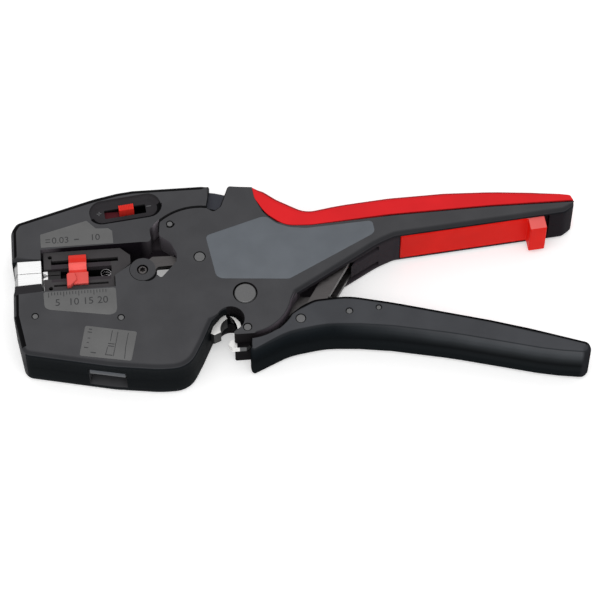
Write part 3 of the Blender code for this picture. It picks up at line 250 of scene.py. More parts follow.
def banded(tree, place, bands):
    """A colour by height: bands lists pairs of a distance in mm from the middle plane of the
    tool and a colour, with straight steps of colour between them."""
    height = tree.nodes.new("ShaderNodeSeparateXYZ")
    tree.links.new(place, height.inputs["Vector"])
    middle = tree.nodes.new("ShaderNodeMath")
    middle.operation = "SUBTRACT"
    tree.links.new(height.outputs["Z"], middle.inputs[0])
    middle.inputs[1].default_value = FACE_HEIGHT * MM / 2.0
    away = tree.nodes.new("ShaderNodeMath")
    away.operation = "ABSOLUTE"
    tree.links.new(middle.outputs["Value"], away.inputs[0])
    span = FACE_HEIGHT * MM / 2.0
    share = spread(tree, away.outputs["Value"], 0.0, span, 0.0, 1.0)
    ramp = tree.nodes.new("ShaderNodeValToRGB")
    stops = ramp.color_ramp.elements
    while len(stops) < len(bands):
        stops.new(0.5)
    for stop, (distance, colour) in zip(stops, bands):
        stop.position = distance * MM / span
        stop.color = (*colour, 1.0)
    tree.links.new(share, ramp.inputs["Fac"])
    return ramp.outputs["Color"]


def zone(tree, place, soft=0.15, **limits):
    """A share that is 1 between limits in mm from the bolt, such as x=(low, high), and falls to
    0 over the next few tenths, or a soft width of its own."""
    parts = tree.nodes.new("ShaderNodeSeparateXYZ")
    tree.links.new(place, parts.inputs["Vector"])
    share = None
    for axis, ends in limits.items():
        for end, side in zip(ends, (1.0, -1.0)):
            line = getattr(BOLT, axis) + end * MM
            start = line - side * soft * MM
            step = spread(tree, parts.outputs[axis.upper()], start, line, 0.0, 1.0)
            if share is not None:
                both = tree.nodes.new("ShaderNodeMath")
                both.operation = "MULTIPLY"
                tree.links.new(share, both.inputs[0])
                tree.links.new(step, both.inputs[1])
                step = both.outputs["Value"]
            share = step
    return share


def tinted(finish, colour, soft=0.15, **limits):
    """Blends a second colour into a finish inside a zone."""
    tree = finish.node_tree
    colour_socket = tree.nodes["Principled BSDF"].inputs["Base Color"]
    place = tree.nodes["Texture Coordinate"].outputs["Object"]
    before = colour_socket.links[0].from_socket
    share = zone(tree, place, soft, **limits)
    tree.links.new(blended(tree, share, before, colour), colour_socket)


def moulded_nylon(name, bands, roughness, specular):
    """Grained nylon whose colour goes from the seam to the face in bands, and is uneven by
    seven hundredths each way."""
    finish, tree, shader, place = new_finish(name, roughness, specular)
    uneven = spread(tree, cloud(tree, place, 90.0), 0.35, 0.65, 0.0, 1.0)
    tint = blended(tree, uneven, (0.93, 0.93, 0.93), (1.07, 1.07, 1.07))
    paint = tree.nodes.new("ShaderNodeMix")
    paint.data_type = "RGBA"
    paint.blend_type = "MULTIPLY"
    paint.inputs["Factor"].default_value = 1.0
    tree.links.new(banded(tree, place, bands), paint.inputs[6])
    tree.links.new(tint, paint.inputs[7])
    tree.links.new(paint.outputs[2], shader.inputs["Base Color"])
    grained(tree, shader, cloud(tree, place, 3600.0), 0.02)
    return finish


# Painted shade and highlight: the bands darken the walls towards the seam, and under the face's
# edge they paint a darker line of shade above a paler band of highlight.
body_nylon = moulded_nylon(
    "grained_nylon_painted_shade",
    (
        (0.0, (0.0024, 0.0036, 0.0046)),
        (5.0, (0.004, 0.0054, 0.0066)),
        (7.5, (0.008, 0.0095, 0.011)),
        (7.85, (0.016, 0.018, 0.021)),
        (8.05, (0.05, 0.051, 0.055)),
        (8.3, (0.034, 0.0345, 0.0375)),
        (8.8, (0.034, 0.0345, 0.0375)),
        (8.98, (0.064, 0.064, 0.068)),
    ),
    0.6,
    0.02,
)
LOWER_WALLS = (-3.0, 14.6)
# Painted light: low on the walls along the upper handle the bands are lifted, to a mid grey from
# 4 to 57 mm and less from 60 mm on.
tinted(body_nylon, (0.014, 0.012, 0.015), 3.0, x=(60.0, 120.0), z=LOWER_WALLS)
tinted(body_nylon, (0.042, 0.036, 0.042), 3.0, x=(4.0, 57.0), z=LOWER_WALLS)
# Painted shade: a near-black finish for the slopes that look to the left or the back.
rim_nylon = moulded_nylon(
    "rim_nylon_painted_shade", ((0.0, (0.003, 0.003, 0.0035)), (8.9, (0.004, 0.004, 0.0045))), 0.5, 0.02
)
# Painted light: a paler finish for the walls at the front of the head.
side_nylon = moulded_nylon(
    "side_nylon_painted_light", ((0.0, (0.03, 0.03, 0.032)), (8.9, (0.06, 0.06, 0.064))), 0.6, 0.02
)
# Painted light and shade: the throat's walls are paler than the faces, near black at the deep
# end, and much paler in the gap beside the upper jaw's end.
inner_nylon = moulded_nylon(
    "inner_nylon", ((0.0, (0.09, 0.08, 0.09)), (8.9, (0.11, 0.1, 0.112))), 0.6, 0.02
)
DEEP_END = (-60.0, -33.5)
tinted(inner_nylon, (0.009, 0.007, 0.01), 5.0, x=DEEP_END)
tinted(inner_nylon, (0.3, 0.27, 0.3), 1.0, x=(-38.0, -24.0), y=(28.8, 40.0))


def even_nylon(name, colour):
    """Inner nylon with the same colour from the seam to the face."""
    return moulded_nylon(name, ((0.0, colour), (8.9, colour)), 0.6, 0.02)


# Painted shade: the throat's floor is darker than the faces, and darker still at the deep end and
# in the lower throat.
floor_nylon = even_nylon("throat_floor_nylon", (0.036, 0.031, 0.035))
tinted(floor_nylon, (0.005, 0.003, 0.006), 5.0, x=DEEP_END)
tinted(floor_nylon, (0.014, 0.011, 0.014), 1.0, x=(-60.0, -20.0), y=(2.0, 23.6))
# Painted light: the walls beside the lower handle are paler than the faces, and dark at their end
# towards the head.
lobe_nylon = even_nylon("lobe_nylon", (0.09, 0.076, 0.09))
tinted(lobe_nylon, (0.01, 0.009, 0.01), 9.0, x=(-20.0, 1.0))
leaf_room_nylon = even_nylon("leaf_room_nylon", (0.06, 0.06, 0.064))
THROAT = (
    (-52.0, 26.4),
    (-36.6, 26.9),
    (-36.8, 31.0),
    (-30.0, 37.5),
    (-26.8, 35.0),
    (-26.4, 27.5),
    (-18.4, 20.6),
    (-16.5, 14.0),
    (-21.0, 9.0),
    (-28.0, 5.5),
    (-38.0, 5.5),
    (-43.2, 10.0),
    (-52.0, 22.0),
)
LEAF_ROOM = ((-53.4, -21.0), (-39.2, -24.4), (-36.0, -20.0), (-38.0, -12.0), (-54.0, -12.0))


def warped(piece, rule):
    """Moves the corners of a piece by a rule on their array in mm from the bolt."""
    points = np.empty(len(piece.data.vertices) * 3)
    piece.data.vertices.foreach_get("co", points)
    points = (points.reshape(-1, 3) - np.array(BOLT)) / MM
    rule(points)
    piece.data.vertices.foreach_set("co", (points * MM + np.array(BOLT)).ravel())
    piece.data.update()


def full_corners(points):
    """Fills the body's corner beside the grip's start and trims the one beside its end."""
    x, y = points[:, 0], points[:, 1]
    start = (x > 4.3) & (x < 5.2) & (y > 39.8)
    points[start & (y > 40.4), 1] = 40.95
    points[start, 0] = 5.1
    points[(x > 113.0) & (y > 27.0), 0] = 112.78


def in_the_throat(middles, normals):
    """True for faces of the throat's walls and floor."""
    return within(middles, THROAT) & (middles[:, 2] < 17.6)


def throat_floor(middles, normals):
    """True for the throat's faces that look up."""
    return in_the_throat(middles, normals) & (normals[:, 2] > 0.7)


def left_side(middles, normals):
    """True for the walls at the front of the head."""
    return (normals[:, 0] < -0.7) & (middles[:, 0] < -70.0)


def lobe_wall(middles, normals):
    """True for the body's walls beside the lower handle."""
    x, y = middles[:, 0], middles[:, 1]
    return (x > -7.0) & (x < 24.0) & (y > -17.0) & (y < 6.0) & (abs(normals[:, 2]) < 0.5)


def in_the_leaf_room(middles, normals):
    """True for faces of the slot in the bottom wall."""
    return within(middles, LEAF_ROOM) & (middles[:, 2] < 13.1)


def body_back(x, y):
    """True for points of the plan on the body's back."""
    return y > 26.0


BROKEN_EDGE = 0.12
WORN_EDGE = 0.45
for half, ease in (("housing_front", WORN_EDGE), ("housing_rear", 0.0)):
    moulding = dressed(
        half + "_moulding",
        half,
        body_nylon,
        BROKEN_EDGE,
        rim_nylon,
        ease,
        body_back,
    )
    recoloured(moulding, inner_nylon, in_the_throat)
    recoloured(moulding, floor_nylon, throat_floor)
    recoloured(moulding, side_nylon, left_side)
    recoloured(moulding, lobe_nylon, lobe_wall)
    recoloured(moulding, leaf_room_nylon, in_the_leaf_room)
    warped(moulding, full_corners)


# Soft grip: a strip of thermoplastic rubber moulded over the back of the upper handle, in one
# piece with a satin skin whose shade changes slowly along it.


def red_skin(name, colour, roughness, specular, depth):
    """Satin red plastic or rubber with a fine grain and a slow change of shade."""
    finish, tree, shader, place = new_finish(name, roughness, specular)
    deeper = tuple(c * 0.9 for c in colour)
    share = spread(tree, cloud(tree, place, 70.0), 0.35, 0.65, 0.0, 1.0)
    tree.links.new(blended(tree, share, deeper, colour), shader.inputs["Base Color"])
    fine = cloud(tree, place, 3200.0)
    sheen = spread(tree, fine, 0.3, 0.7, roughness - 0.06, roughness + 0.06)
    tree.links.new(sheen, shader.inputs["Roughness"])
    grained(tree, shader, fine, depth)
    return finish


grip_rubber = red_skin("soft_red_rubber", (0.74, 0.02, 0.024), 0.5, 0.06, 0.02)
# Painted shade: a darker red for the grip's slopes that look to the left or the back, back to the
# full red at the face.
red_rubber_painted_shade = red_skin("red_rubber_painted_shade", (0.34, 0.011, 0.013), 0.5, 0.04, 0.02)
tinted(red_rubber_painted_shade, (0.7, 0.018, 0.022), z=(17.86, 19.0))


def full_start(points):
    """Squares the grip's first end, so that it meets the body without a notch."""
    start = (points[:, 0] < 6.0) & (points[:, 1] > 40.1)
    points[start & (points[:, 1] > 40.23), 1] = 40.85
    points[start, 0] = 5.15


grip = dressed("grip_insert_skin", "grip_insert", grip_rubber, 0.15, red_rubber_painted_shade)
warped(grip, full_start)


# Upper jaw: two more halves of the same nylon, which close on the cable. The oval recess in
# the front one holds the slot of the depth slider.

# Painted shade: the recess darkens with depth, near black within 6 mm of the middle plane.
recess_nylon = moulded_nylon(
    "recess_nylon",
    (
        (0.0, (0.003, 0.003, 0.003)),
        (6.0, (0.003, 0.003, 0.003)),
        (7.0, (0.034, 0.032, 0.035)),
        (8.9, (0.05, 0.048, 0.052)),
    ),
    0.6,
    0.02,
)
JAW_BACK = 43.17
RECESS = ((-52.0, 31.0), (-24.0, 30.0), (-22.0, 44.0), (-50.0, 44.0))


def fuller_back(points):
    """Arches the jaw's back by up to 0.45 mm and drops its last corner, with less below it."""
    rise = np.interp(
        points[:, 0],
        (-60.0, -47.6, -35.7, -28.2, -20.0, -15.0, -12.0, -10.3, -9.4),
        (0.0, 0.35, 0.45, 0.36, 0.25, 0.12, 0.0, -0.3, -0.7),
    )
    points[:, 1] += rise * np.clip((points[:, 1] - 36.5) / 4.5, 0.0, 1.0)
    points[:, 1] = np.minimum(points[:, 1], JAW_BACK)


def in_the_recess(middles, normals):
    """True for the recess's floor and slopes, except the slopes with the rim's painted shade."""
    deep = (middles[:, 2] > 13.0) & (middles[:, 2] < 17.9)
    return within(middles, RECESS) & deep & ~slopes_away(middles, normals)


def jaw_throat(middles, normals):
    """True for the jaw's tall walls along the throat."""
    return in_the_throat(middles, normals) & (middles[:, 2] < 14.2)


def all_round(x, y):
    """True for the whole plan."""
    return True


for half, ease in (("upper_jaw_front", WORN_EDGE), ("upper_jaw_rear", 0.0)):
    moulding = dressed(
        half + "_moulding",
        half,
        body_nylon,
        BROKEN_EDGE,
        rim_nylon,
        ease,
        all_round,
    )
    warped(moulding, fuller_back)
    recoloured(moulding, recess_nylon, in_the_recess)
    recoloured(moulding, inner_nylon, jaw_throat)
    recoloured(moulding, side_nylon, left_side)


# Cable jaws: ground steel plates set in both halves of the head, and the cast arm behind the
# upper one. Grinding leaves fine lines along the wire's direction.


def ground_steel(name, colour, roughness, lines, stretch, shade=0.88, metallic=1.0):
    """Bare steel: metal with lines many times longer than wide, from noise on coordinates
    that are squeezed along one direction. The lines go down to a share of the colour."""
    finish, tree, shader, place = new_finish(name, roughness, metallic=metallic)
    squeeze = tree.nodes.new("ShaderNodeMapping")
    squeeze.inputs["Scale"].default_value = stretch
    tree.links.new(place, squeeze.inputs["Vector"])
    fine = cloud(tree, squeeze.outputs["Vector"], lines, 2.0)
    share = spread(tree, fine, 0.35, 0.65, 0.0, 1.0)
    darker = tuple(c * shade for c in colour)
    tree.links.new(blended(tree, share, darker, colour), shader.inputs["Base Color"])
    sheen = spread(tree, fine, 0.3, 0.7, roughness - 0.07, roughness + 0.07)
    tree.links.new(sheen, shader.inputs["Roughness"])
    grained(tree, shader, fine, 0.008)
    return finish


GROUND_ALONG = (0.1, 1.0, 1.0)
EVEN_GRAIN = (1.0, 1.0, 1.0)
# Painted reflection and shade: the jaws' near white is partly a diffuse white that stands in for
# the light the steel reflects, and their front ends are painted grey as painted shade.
jaw_steel = ground_steel(
    "lapped_jaw_steel_painted_reflection", (0.96, 0.96, 0.96), 0.3, 2500.0, GROUND_ALONG, 0.97, 0.35
)
tinted(jaw_steel, (0.24, 0.24, 0.24), x=(-80.0, -74.9))


def nearly_flush(points):
    """Raises the jaws' upper faces to 0.4 mm below the face of the head."""
    top = points[:, 2].max()
    points[points[:, 2] > top - 0.7, 2] += FACE_HEIGHT - 0.4 - top


for side in ("upper", "lower"):
    jaw = dressed("grip_jaw_%s_plate" % side, "grip_jaw_" + side, jaw_steel, 0.1)
    warped(jaw, nearly_flush)
cast_steel = ground_steel("blued_cast_steel", (0.05, 0.052, 0.062), 0.5, 900.0, EVEN_GRAIN)
dressed("jaw_arm_casting", "jaw_arm", cast_steel, 0.15)


# Cartridge: a block of moulded black nylon that slides out of the head, with the two ground
# blades, their carriage and a coil spring of wound wire in its middle channel.

# Painted shade: the bands darken the cartridge's walls towards the middle plane, and the walls of
# the upper slot a little less. Its highest faces are painted paler.
cartridge_nylon = moulded_nylon(
    "black_cartridge_nylon",
    ((0.0, (0.003, 0.003, 0.0035)), (5.5, (0.006, 0.006, 0.0065)), (7.1, (0.057, 0.054, 0.056))),
    0.5,
    0.02,
)
SLOT_FRONT = -63.7
SLOT_SIDE = 16.7
tinted(cartridge_nylon, (0.086, 0.08, 0.083), x=(-80.0, -46.0), z=(17.0, 19.0))
tinted(
    cartridge_nylon,
    (0.045, 0.039, 0.044),
    x=(SLOT_FRONT, -44.0),
    y=(10.0, SLOT_SIDE),
    z=(14.0, 17.0),
)


def wide_slot(points):
    """Opens the cartridge's upper slot to the channel's side and the front."""
    x, y = points[:, 0], points[:, 1]
    points[(x > -64.0) & (x < -41.0) & (y > 17.1) & (y < 17.3), 1] = SLOT_SIDE
    points[(x > -63.2) & (x < -62.8) & (y > 16.5) & (y < 18.4), 0] = SLOT_FRONT


BLADE_FRONT = -66.5


def long_tip(points):
    """Brings the blades' front ends to the cartridge's edge."""
    points[points[:, 0] < -65.4, 0] = BLADE_FRONT


cartridge = dressed("cartridge_moulding", "blade_cartridge", cartridge_nylon, 0.1)
warped(cartridge, wide_slot)
# Painted shade: the blades are near black where they lie in the channel's shade, and bright only
# at their ground tips.
blade_steel = ground_steel(
    "blade_steel", (0.007, 0.006, 0.007), 0.5, 2500.0, GROUND_ALONG, 0.9, 0.3
)
tinted(blade_steel, (0.95, 0.95, 0.95), x=(-70.0, -65.1))
for side in ("upper", "lower"):
    blade = dressed("blade_%s_plate" % side, "blade_" + side, blade_steel, 0.08)
    warped(blade, long_tip)
ROLLED_ALONG = (0.15, 1.0, 1.0)
black_steel = ground_steel("blackened_steel", (0.02, 0.018, 0.02), 0.5, 2500.0, ROLLED_ALONG)
frame["nodes"]["draw_rod"].material_slots[0].material = black_steel


def coil(turns, radius, wire, centre, low, high, around=28, sides=10):
    """Vertices and faces of an upright coil spring: the wire's centre turns about the axis at a
    steady pitch, and a circle of points round it, in the plane of the radius and the axis, makes
    the wire. Both ends are closed."""
    turn = np.linspace(0.0, math.tau * turns, turns * around + 1)[:, None]
    ring = np.linspace(0.0, math.tau, sides, endpoint=False)[None, :]
    reach = radius + wire * np.cos(ring)
    rise = low + wire + (high - low - 2.0 * wire) * turn / (math.tau * turns)
    x = centre[0] + reach * np.cos(turn)
    y = centre[1] + reach * np.sin(turn)
    z = rise + wire * np.sin(ring)
    vertices = np.stack((x, y, z), 2).reshape(-1, 3)
    start = (np.arange(turns * around)[:, None] * sides).repeat(sides, 1)
    here = np.arange(sides)[None, :]
    there = np.roll(here, -1)
    corners = (start + here, start + there, start + sides + there, start + sides + here)
    faces = np.stack(corners, 2).reshape(-1, 4)
    ends = [list(range(sides))[::-1], [len(vertices) - sides + k for k in range(sides)]]
    return vertices, faces.tolist() + ends


CREASE = math.radians(38.0)


def piece_of(name, body, slot, finish, *solids, smooth=True):
    """One piece from solids given as vertices in mm from the bolt and faces, moved into the
    frame, turned the right way out, and riding on a body."""
    vertices, faces, count = [], [], 0
    for points, sides in solids:
        vertices.append(points)
        faces += [[count + i for i in side] for side in sides]
        count += len(points)
    mesh = bpy.data.meshes.new(name)
    mesh.from_pydata((np.concatenate(vertices) * MM + np.array(BOLT)).tolist(), [], faces)
    shape = bmesh.new()
    shape.from_mesh(mesh)
    bmesh.ops.recalc_face_normals(shape, faces=shape.faces[:])
    shape.to_mesh(mesh)
    shape.free()
    if smooth:
        mesh.shade_smooth()
        mesh.set_sharp_from_angle(angle=CREASE)
    mesh.materials.append(finish)
    piece = bpy.data.objects.new(name, mesh)
    bpy.context.scene.collection.objects.link(piece)
    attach(piece, body)
    return piece


SPRING_TURNS = 4
SPRING_RADIUS = 1.7
SPRING_WIRE = 0.14
SPRING_RISE = 2.3
spring_low, spring_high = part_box("cartridge_spring")
spring_steel = ground_steel("spring_wire", (0.32, 0.31, 0.32), 0.35, 2500.0, EVEN_GRAIN)
spring_centre = (spring_low + spring_high) / 2.0 - BOLT
spring = coil(
    SPRING_TURNS,
    SPRING_RADIUS,
    SPRING_WIRE,
    (spring_centre.x / MM, spring_centre.y / MM),
    spring_low.z / MM,
    spring_high.z / MM + SPRING_RISE,
)
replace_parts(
    piece_of("cartridge_spring_coil", "housing", "bright_steel", spring_steel, spring),
    "cartridge_spring",
)


# Length stop: a saddle moulded of glossy red plastic and clicked onto the cartridge's grooves,
# with a pointer that shows the stripping length on the scale below it.

# Painted highlights: a pink band over the hump, and a paler red on the flange and pointer.
saddle_red = red_skin("saddle_red_painted_highlights", (0.76, 0.038, 0.026), 0.32, 0.12, 0.006)
tinted(saddle_red, (0.96, 0.135, 0.12), y=(13.6, 16.2))
tinted(saddle_red, (0.74, 0.1, 0.088), y=(6.0, 12.3))


def stacked(outline, levels):
    """A closed solid: the outline stands at each level, given as height and inset, and the
    inset moves it inwards along its own normal. The first and the last ring are filled."""
    outline = np.asarray(outline, float)
    ahead = np.roll(outline, -1, 0)
    if np.sum(outline[:, 0] * ahead[:, 1] - ahead[:, 0] * outline[:, 1]) < 0.0:
        outline = outline[::-1]
    along = np.roll(outline, -1, 0) - np.roll(outline, 1, 0)
    inwards = np.stack((-along[:, 1], along[:, 0]), 1)
    inwards /= np.linalg.norm(inwards, axis=1, keepdims=True)
    rings = [
        np.column_stack((outline + inwards * inset, np.full(len(outline), height)))
        for height, inset in levels
    ]
    count = len(outline)
    here = np.arange(count)
    there = np.roll(here, -1)
    walls = [
        np.stack((here, there, there + count, here + count), 1) + count * k
        for k in range(len(levels) - 1)
    ]
    lids = [here[::-1].tolist(), (here + count * (len(levels) - 1)).tolist()]
    return np.concatenate(rings), np.concatenate(walls).tolist() + lids


def carried_across(profile, levels):
    """A closed solid like a stacked one, whose outline is a profile of back and height and
    whose levels follow one another along the wire."""
    points, faces = stacked(profile, levels)
    return points[:, [2, 0, 1]], faces


saddle = carried_across(
    (
        (19.2, 16.5),
        (19.2, 17.5),
        (18.9, 17.85),
        (17.8, 17.9),
        (17.2, 17.2),
        (16.6, 17.25),
        (15.6, 18.1),
        (15.0, 18.3),
        (14.2, 18.1),
        (13.4, 17.1),
        (12.9, 17.0),
        (12.4, 17.5),
        (12.2, 17.4),
        (12.2, 16.5),
    ),
    ((-57.85, 0.12), (-57.7, 0.0), (-52.1, 0.0), (-51.95, 0.12)),
)
flange = carried_across(
    ((12.5, 16.5), (12.5, 17.5), (12.3, 17.6), (8.4, 17.6), (8.1, 17.4), (8.1, 16.5)),
    ((-56.4, 0.12), (-56.25, 0.0), (-51.65, 0.0), (-51.5, 0.12)),
)
pointer = stacked(
    ((-58.6, 11.6), (-58.0, 12.1), (-55.9, 12.0), (-55.3, 9.4), (-57.4, 7.2), (-58.6, 7.1)),
    ((16.5, 0.0), (18.2, 0.0), (18.42, 0.2)),
)
foot = stacked(
    ((-57.4, 11.6), (-52.6, 11.6), (-52.6, 14.6), (-57.4, 14.6)), ((15.7, 0.0), (16.9, 0.0))
)
stop_solids = (saddle, flange, pointer, foot)
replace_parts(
    piece_of("length_stop_saddle", "length_stop", "red_plastic", saddle_red, *stop_solids),
    "length_stop",
)


# Depth slider: a knob with ribs across it, moulded of satin red plastic in one piece with the
# plate that lies under the slot of the upper jaw and holds the knob there.

slider_red = red_skin("satin_red_plastic", (0.8, 0.035, 0.024), 0.36, 0.12, 0.01)
knob = dressed("depth_slider_knob", "depth_adjuster", slider_red, 0.06)
# Painted shade: the plate under the slot is dark red, and near black on its half towards the
# slot's far wall.
plate_red = red_skin("shaded_plate_red", (0.085, 0.014, 0.019), 0.5, 0.05, 0.01)
tinted(plate_red, (0.004, 0.002, 0.003), y=(36.75, 45.0))


def under_the_slot(middles, normals):
    """True for faces of the slider's plate."""
    return middles[:, 2] < 15.2


recoloured(knob, plate_red, under_the_slot)


# Side cutter: a stamped blade on a turned boss, held by a screw with a star socket, above a
# steel counter blade in the floor of the window. A thin near-black crescent beside the boss
# is painted shade for the seat's groove.

dark_steel = ground_steel("burnished_steel", (0.1, 0.094, 0.094), 0.42, 2500.0, ROLLED_ALONG)
boss_steel = ground_steel("blasted_boss_steel", (0.066, 0.066, 0.07), 0.5, 3000.0, EVEN_GRAIN)
SCREW = np.array((-33.35, 11.7))
BOSS_RADIUS = 4.3
GROOVE_RADIUS = 4.5
GROOVE_WIDTH = 0.75
GROOVE_ENDS = (-86.0, -6.0)
GROOVE_POINTS = 17


def boss_top(middles, normals):
    """True for the faces of the boss."""
    return middles[:, 2] > 16.5


def wide_boss(points):
    """Widens the rings of corners round the boss's edge to the boss's full radius."""
    reach = np.linalg.norm(points[:, :2] - SCREW, axis=1)
    edge = (reach > 3.7) & (reach < BOSS_RADIUS)
    growth = BOSS_RADIUS / reach[edge, None]
    points[edge, :2] = SCREW + (points[edge, :2] - SCREW) * growth


def arc(centre, radius, ends, count):
    """Points at even angles about a centre, between two ends in degrees. The radius is one
    number, or one for each point."""
    turn = np.radians(np.linspace(*ends, count))
    return centre + np.reshape(radius, (-1, 1)) * np.column_stack((np.cos(turn), np.sin(turn)))


cutter = dressed("cutter_blade_stamping", "cutter_blade", dark_steel, 0.12)
recoloured(cutter, boss_steel, boss_top)
warped(cutter, wide_boss)
dressed("cutter_screw_head", "cutter_screw", dark_steel, 0.06)
# Painted shade: a thin near-black crescent laid on the face for the shade in the seat's groove.
swell = np.sin(np.linspace(0.0, math.pi, GROOVE_POINTS)) ** 0.7
groove_side = arc(SCREW, GROOVE_RADIUS, GROOVE_ENDS, GROOVE_POINTS)
groove_back = arc(
    SCREW, GROOVE_RADIUS + 0.02 + GROOVE_WIDTH * swell, GROOVE_ENDS, GROOVE_POINTS
)
piece_of(
    "cutter_seat_groove",
    "housing",
    "dark_plastic",
    rim_nylon,
    stacked(np.concatenate((groove_side, groove_back[::-1])), ((17.9, 0.0), (18.015, 0.0))),
)
dressed("cutter_anvil_plate", "cutter_anvil", dark_steel, 0.1)


# Crimping dies: a fixed plate between the halves and the moving die that the lever pushes
# against it. The die faces are ground bright. A near-black ring of painted shade, with a
# bright insert, lines the far side of the mouth.

# Painted reflection: the dies' near white is partly a diffuse white that stands in for the light
# that the ground steel reflects.
die_steel = ground_steel(
    "ground_die_steel", (0.93, 0.92, 0.9), 0.35, 2500.0, EVEN_GRAIN, 0.95, 0.35
)
# Painted shade: dark grey beside the lower handle, and near black in a thin band at 11.4 to 12 mm
# between the plates.
tinted(die_steel, (0.08, 0.082, 0.085), x=(-3.0, 12.0), y=(-22.0, -12.0))
tinted(die_steel, (0.004, 0.003, 0.004), x=(-3.8, 12.0), y=(-17.0, -10.0), z=(11.4, 12.0))
# The moving die is darker on its faces that don't look up.
side_steel = ground_steel("dark_die_side_steel", (0.05, 0.05, 0.05), 0.5, 2500.0, EVEN_GRAIN)
MOUTH = np.array((-5.5, -9.5))
MOUTH_RADIUS = 4.64
RING_RADIUS = 3.3
RING_ENDS = (-58.0, 92.0)
RING_POINTS = 22


def die_sides(middles, normals):
    """True for faces that don't look up."""
    return normals[:, 2] < 0.7


def rounded(corners, radius, steps=6):
    """Closed outline whose corners are parabolas: each starts and ends the radius away from
    its corner on the two edges, or at most 0.45 of the edge, and bends towards the corner."""
    corner = np.array(corners, float)
    share = np.linspace(0.0, 1.0, steps)[None, :, None]
    ends = []
    for turn in (1, -1):
        edge = np.roll(corner, turn, 0) - corner
        length = np.linalg.norm(edge, axis=1, keepdims=True)
        ends.append((corner + edge / length * np.minimum(radius, 0.45 * length))[:, None])
    pull = 2 * share * (1 - share) * corner[:, None]
    curve = (1 - share) ** 2 * ends[0] + pull + share**2 * ends[1]
    return curve.reshape(-1, 2)


dressed("crimp_die_fixed_plate", "crimp_die_fixed", die_steel, 0.12)
moving_die = dressed(
    "crimp_die_moving_block", "crimp_die_moving", die_steel, 0.12
)
recoloured(moving_die, side_steel, die_sides)
# Painted shade: a thin near-black ring on the far side of the mouth.
mouth_wall = arc(MOUTH, MOUTH_RADIUS, RING_ENDS, RING_POINTS)
mouth_edge = arc(MOUTH, RING_RADIUS, RING_ENDS, RING_POINTS)
piece_of(
    "crimp_mouth_ring",
    "housing",
    "steel",
    rim_nylon,
    stacked(np.concatenate((mouth_wall, mouth_edge[::-1])), ((12.5, 0.0), (12.7, 0.0))),
)
crescent = rounded(
    (
        (-5.7, -5.6),
        (-3.9, -6.3),
        (-2.3, -8.2),
        (-2.0, -10.0),
        (-3.3, -12.6),
        (-3.5, -9.4),
        (-4.3, -7.4),
    ),
    0.6,
)
piece_of(
    "crimp_mouth_insert",
    "housing",
    "bright_steel",
    die_steel,
    stacked(crescent, ((12.5, 0.0), (12.9, 0.0), (13.0, 0.08))),
)


# Lower handle: two shells of black nylon round the steel lever. Light and shade are painted
# along their long sides.

# Painted light and shade: a dark line of painted shade under the face's edge, the walls palest
# just below it and darker towards the seam.
handle_nylon = moulded_nylon(
    "black_nylon_painted_light_and_shade",
    (
        (0.0, (0.007, 0.0075, 0.008)),
        (3.5, (0.03, 0.033, 0.036)),
        (5.0, (0.05, 0.054, 0.059)),
        (7.2, (0.066, 0.071, 0.077)),
        (8.2, (0.071, 0.074, 0.08)),
        (8.46, (0.024, 0.026, 0.029)),
        (8.66, (0.062, 0.064, 0.07)),
    ),
    0.5,
    0.0,
)


def other_nose(finish, bands):
    """Gives a moulded nylon other bands of colour at the handle's nose, which fade into its own
    ones further along the handle."""
    tree = finish.node_tree
    place = tree.nodes["Texture Coordinate"].outputs["Object"]
    parts = tree.nodes.new("ShaderNodeSeparateXYZ")
    tree.links.new(place, parts.inputs["Vector"])
    along = spread(tree, parts.outputs["X"], 0.01, 0.055, 0.0, 1.0)
    paint = next(
        n for n in tree.nodes if n.bl_idname == "ShaderNodeMix" and n.blend_type == "MULTIPLY"
    )
    before = paint.inputs[6].links[0].from_socket
    tree.links.new(blended(tree, along, banded(tree, place, bands), before), paint.inputs[6])


# Painted shade: the walls at the handle's nose are darker, fading into the bands above further
# along the handle.
other_nose(
    handle_nylon,
    (
        (0.0, (0.0055, 0.0068, 0.008)),
        (5.0, (0.009, 0.0115, 0.0137)),
        (7.6, (0.013, 0.0155, 0.018)),
        (8.4, (0.026, 0.028, 0.031)),
        (8.66, (0.062, 0.064, 0.07)),
    ),
)
# Painted shade: darker low on the walls and over the handle's end.
tinted(handle_nylon, (0.01, 0.012, 0.0135), 7.0, x=(-10.0, 120.0), z=(-3.0, 5.0))
tinted(handle_nylon, (0.022, 0.023, 0.026), 1.0, x=(109.4, 120.0), z=(-3.0, 17.2))
# Painted shade: near black for the handle's slopes that look to the left or the back.
handle_rim = moulded_nylon(
    "handle_rim_painted_shade",
    (
        (0.0, (0.003, 0.003, 0.0035)),
        (8.74, (0.004, 0.004, 0.0045)),
        (8.84, (0.062, 0.064, 0.07)),
    ),
    0.5,
    0.0,
)
HANDLE_PINS = ((17.6, -11.1), (33.8, -9.5), (43.6, -8.9))


def clear_of_pins(x, y):
    """True for points of the plan more than 3.6 mm from the handle's pin and screws."""
    return min(math.hypot(x - a, y - b) for a, b in HANDLE_PINS) > 3.6


for half, ease in (("handle_shell_front", 0.12), ("handle_shell_rear", 0.0)):
    dressed(
        half + "_moulding",
        half,
        handle_nylon,
        BROKEN_EDGE,
        handle_rim,
        ease,
        clear_of_pins,
    )
dressed("handle_lever", "handle_core", dark_steel, 0.12)


# Links: two plates stamped from steel sheet and burnished. They turn on two pins, between the
# lever in the lower handle and the draw rod.

dressed("link_front_plate", "link_front", dark_steel, 0.15)
dressed("link_rear_plate", "link_rear", dark_steel, 0.15)
for pin in ("link_pin_lower", "link_pin_upper"):
    frame["nodes"][pin].material_slots[0].material = dark_steel


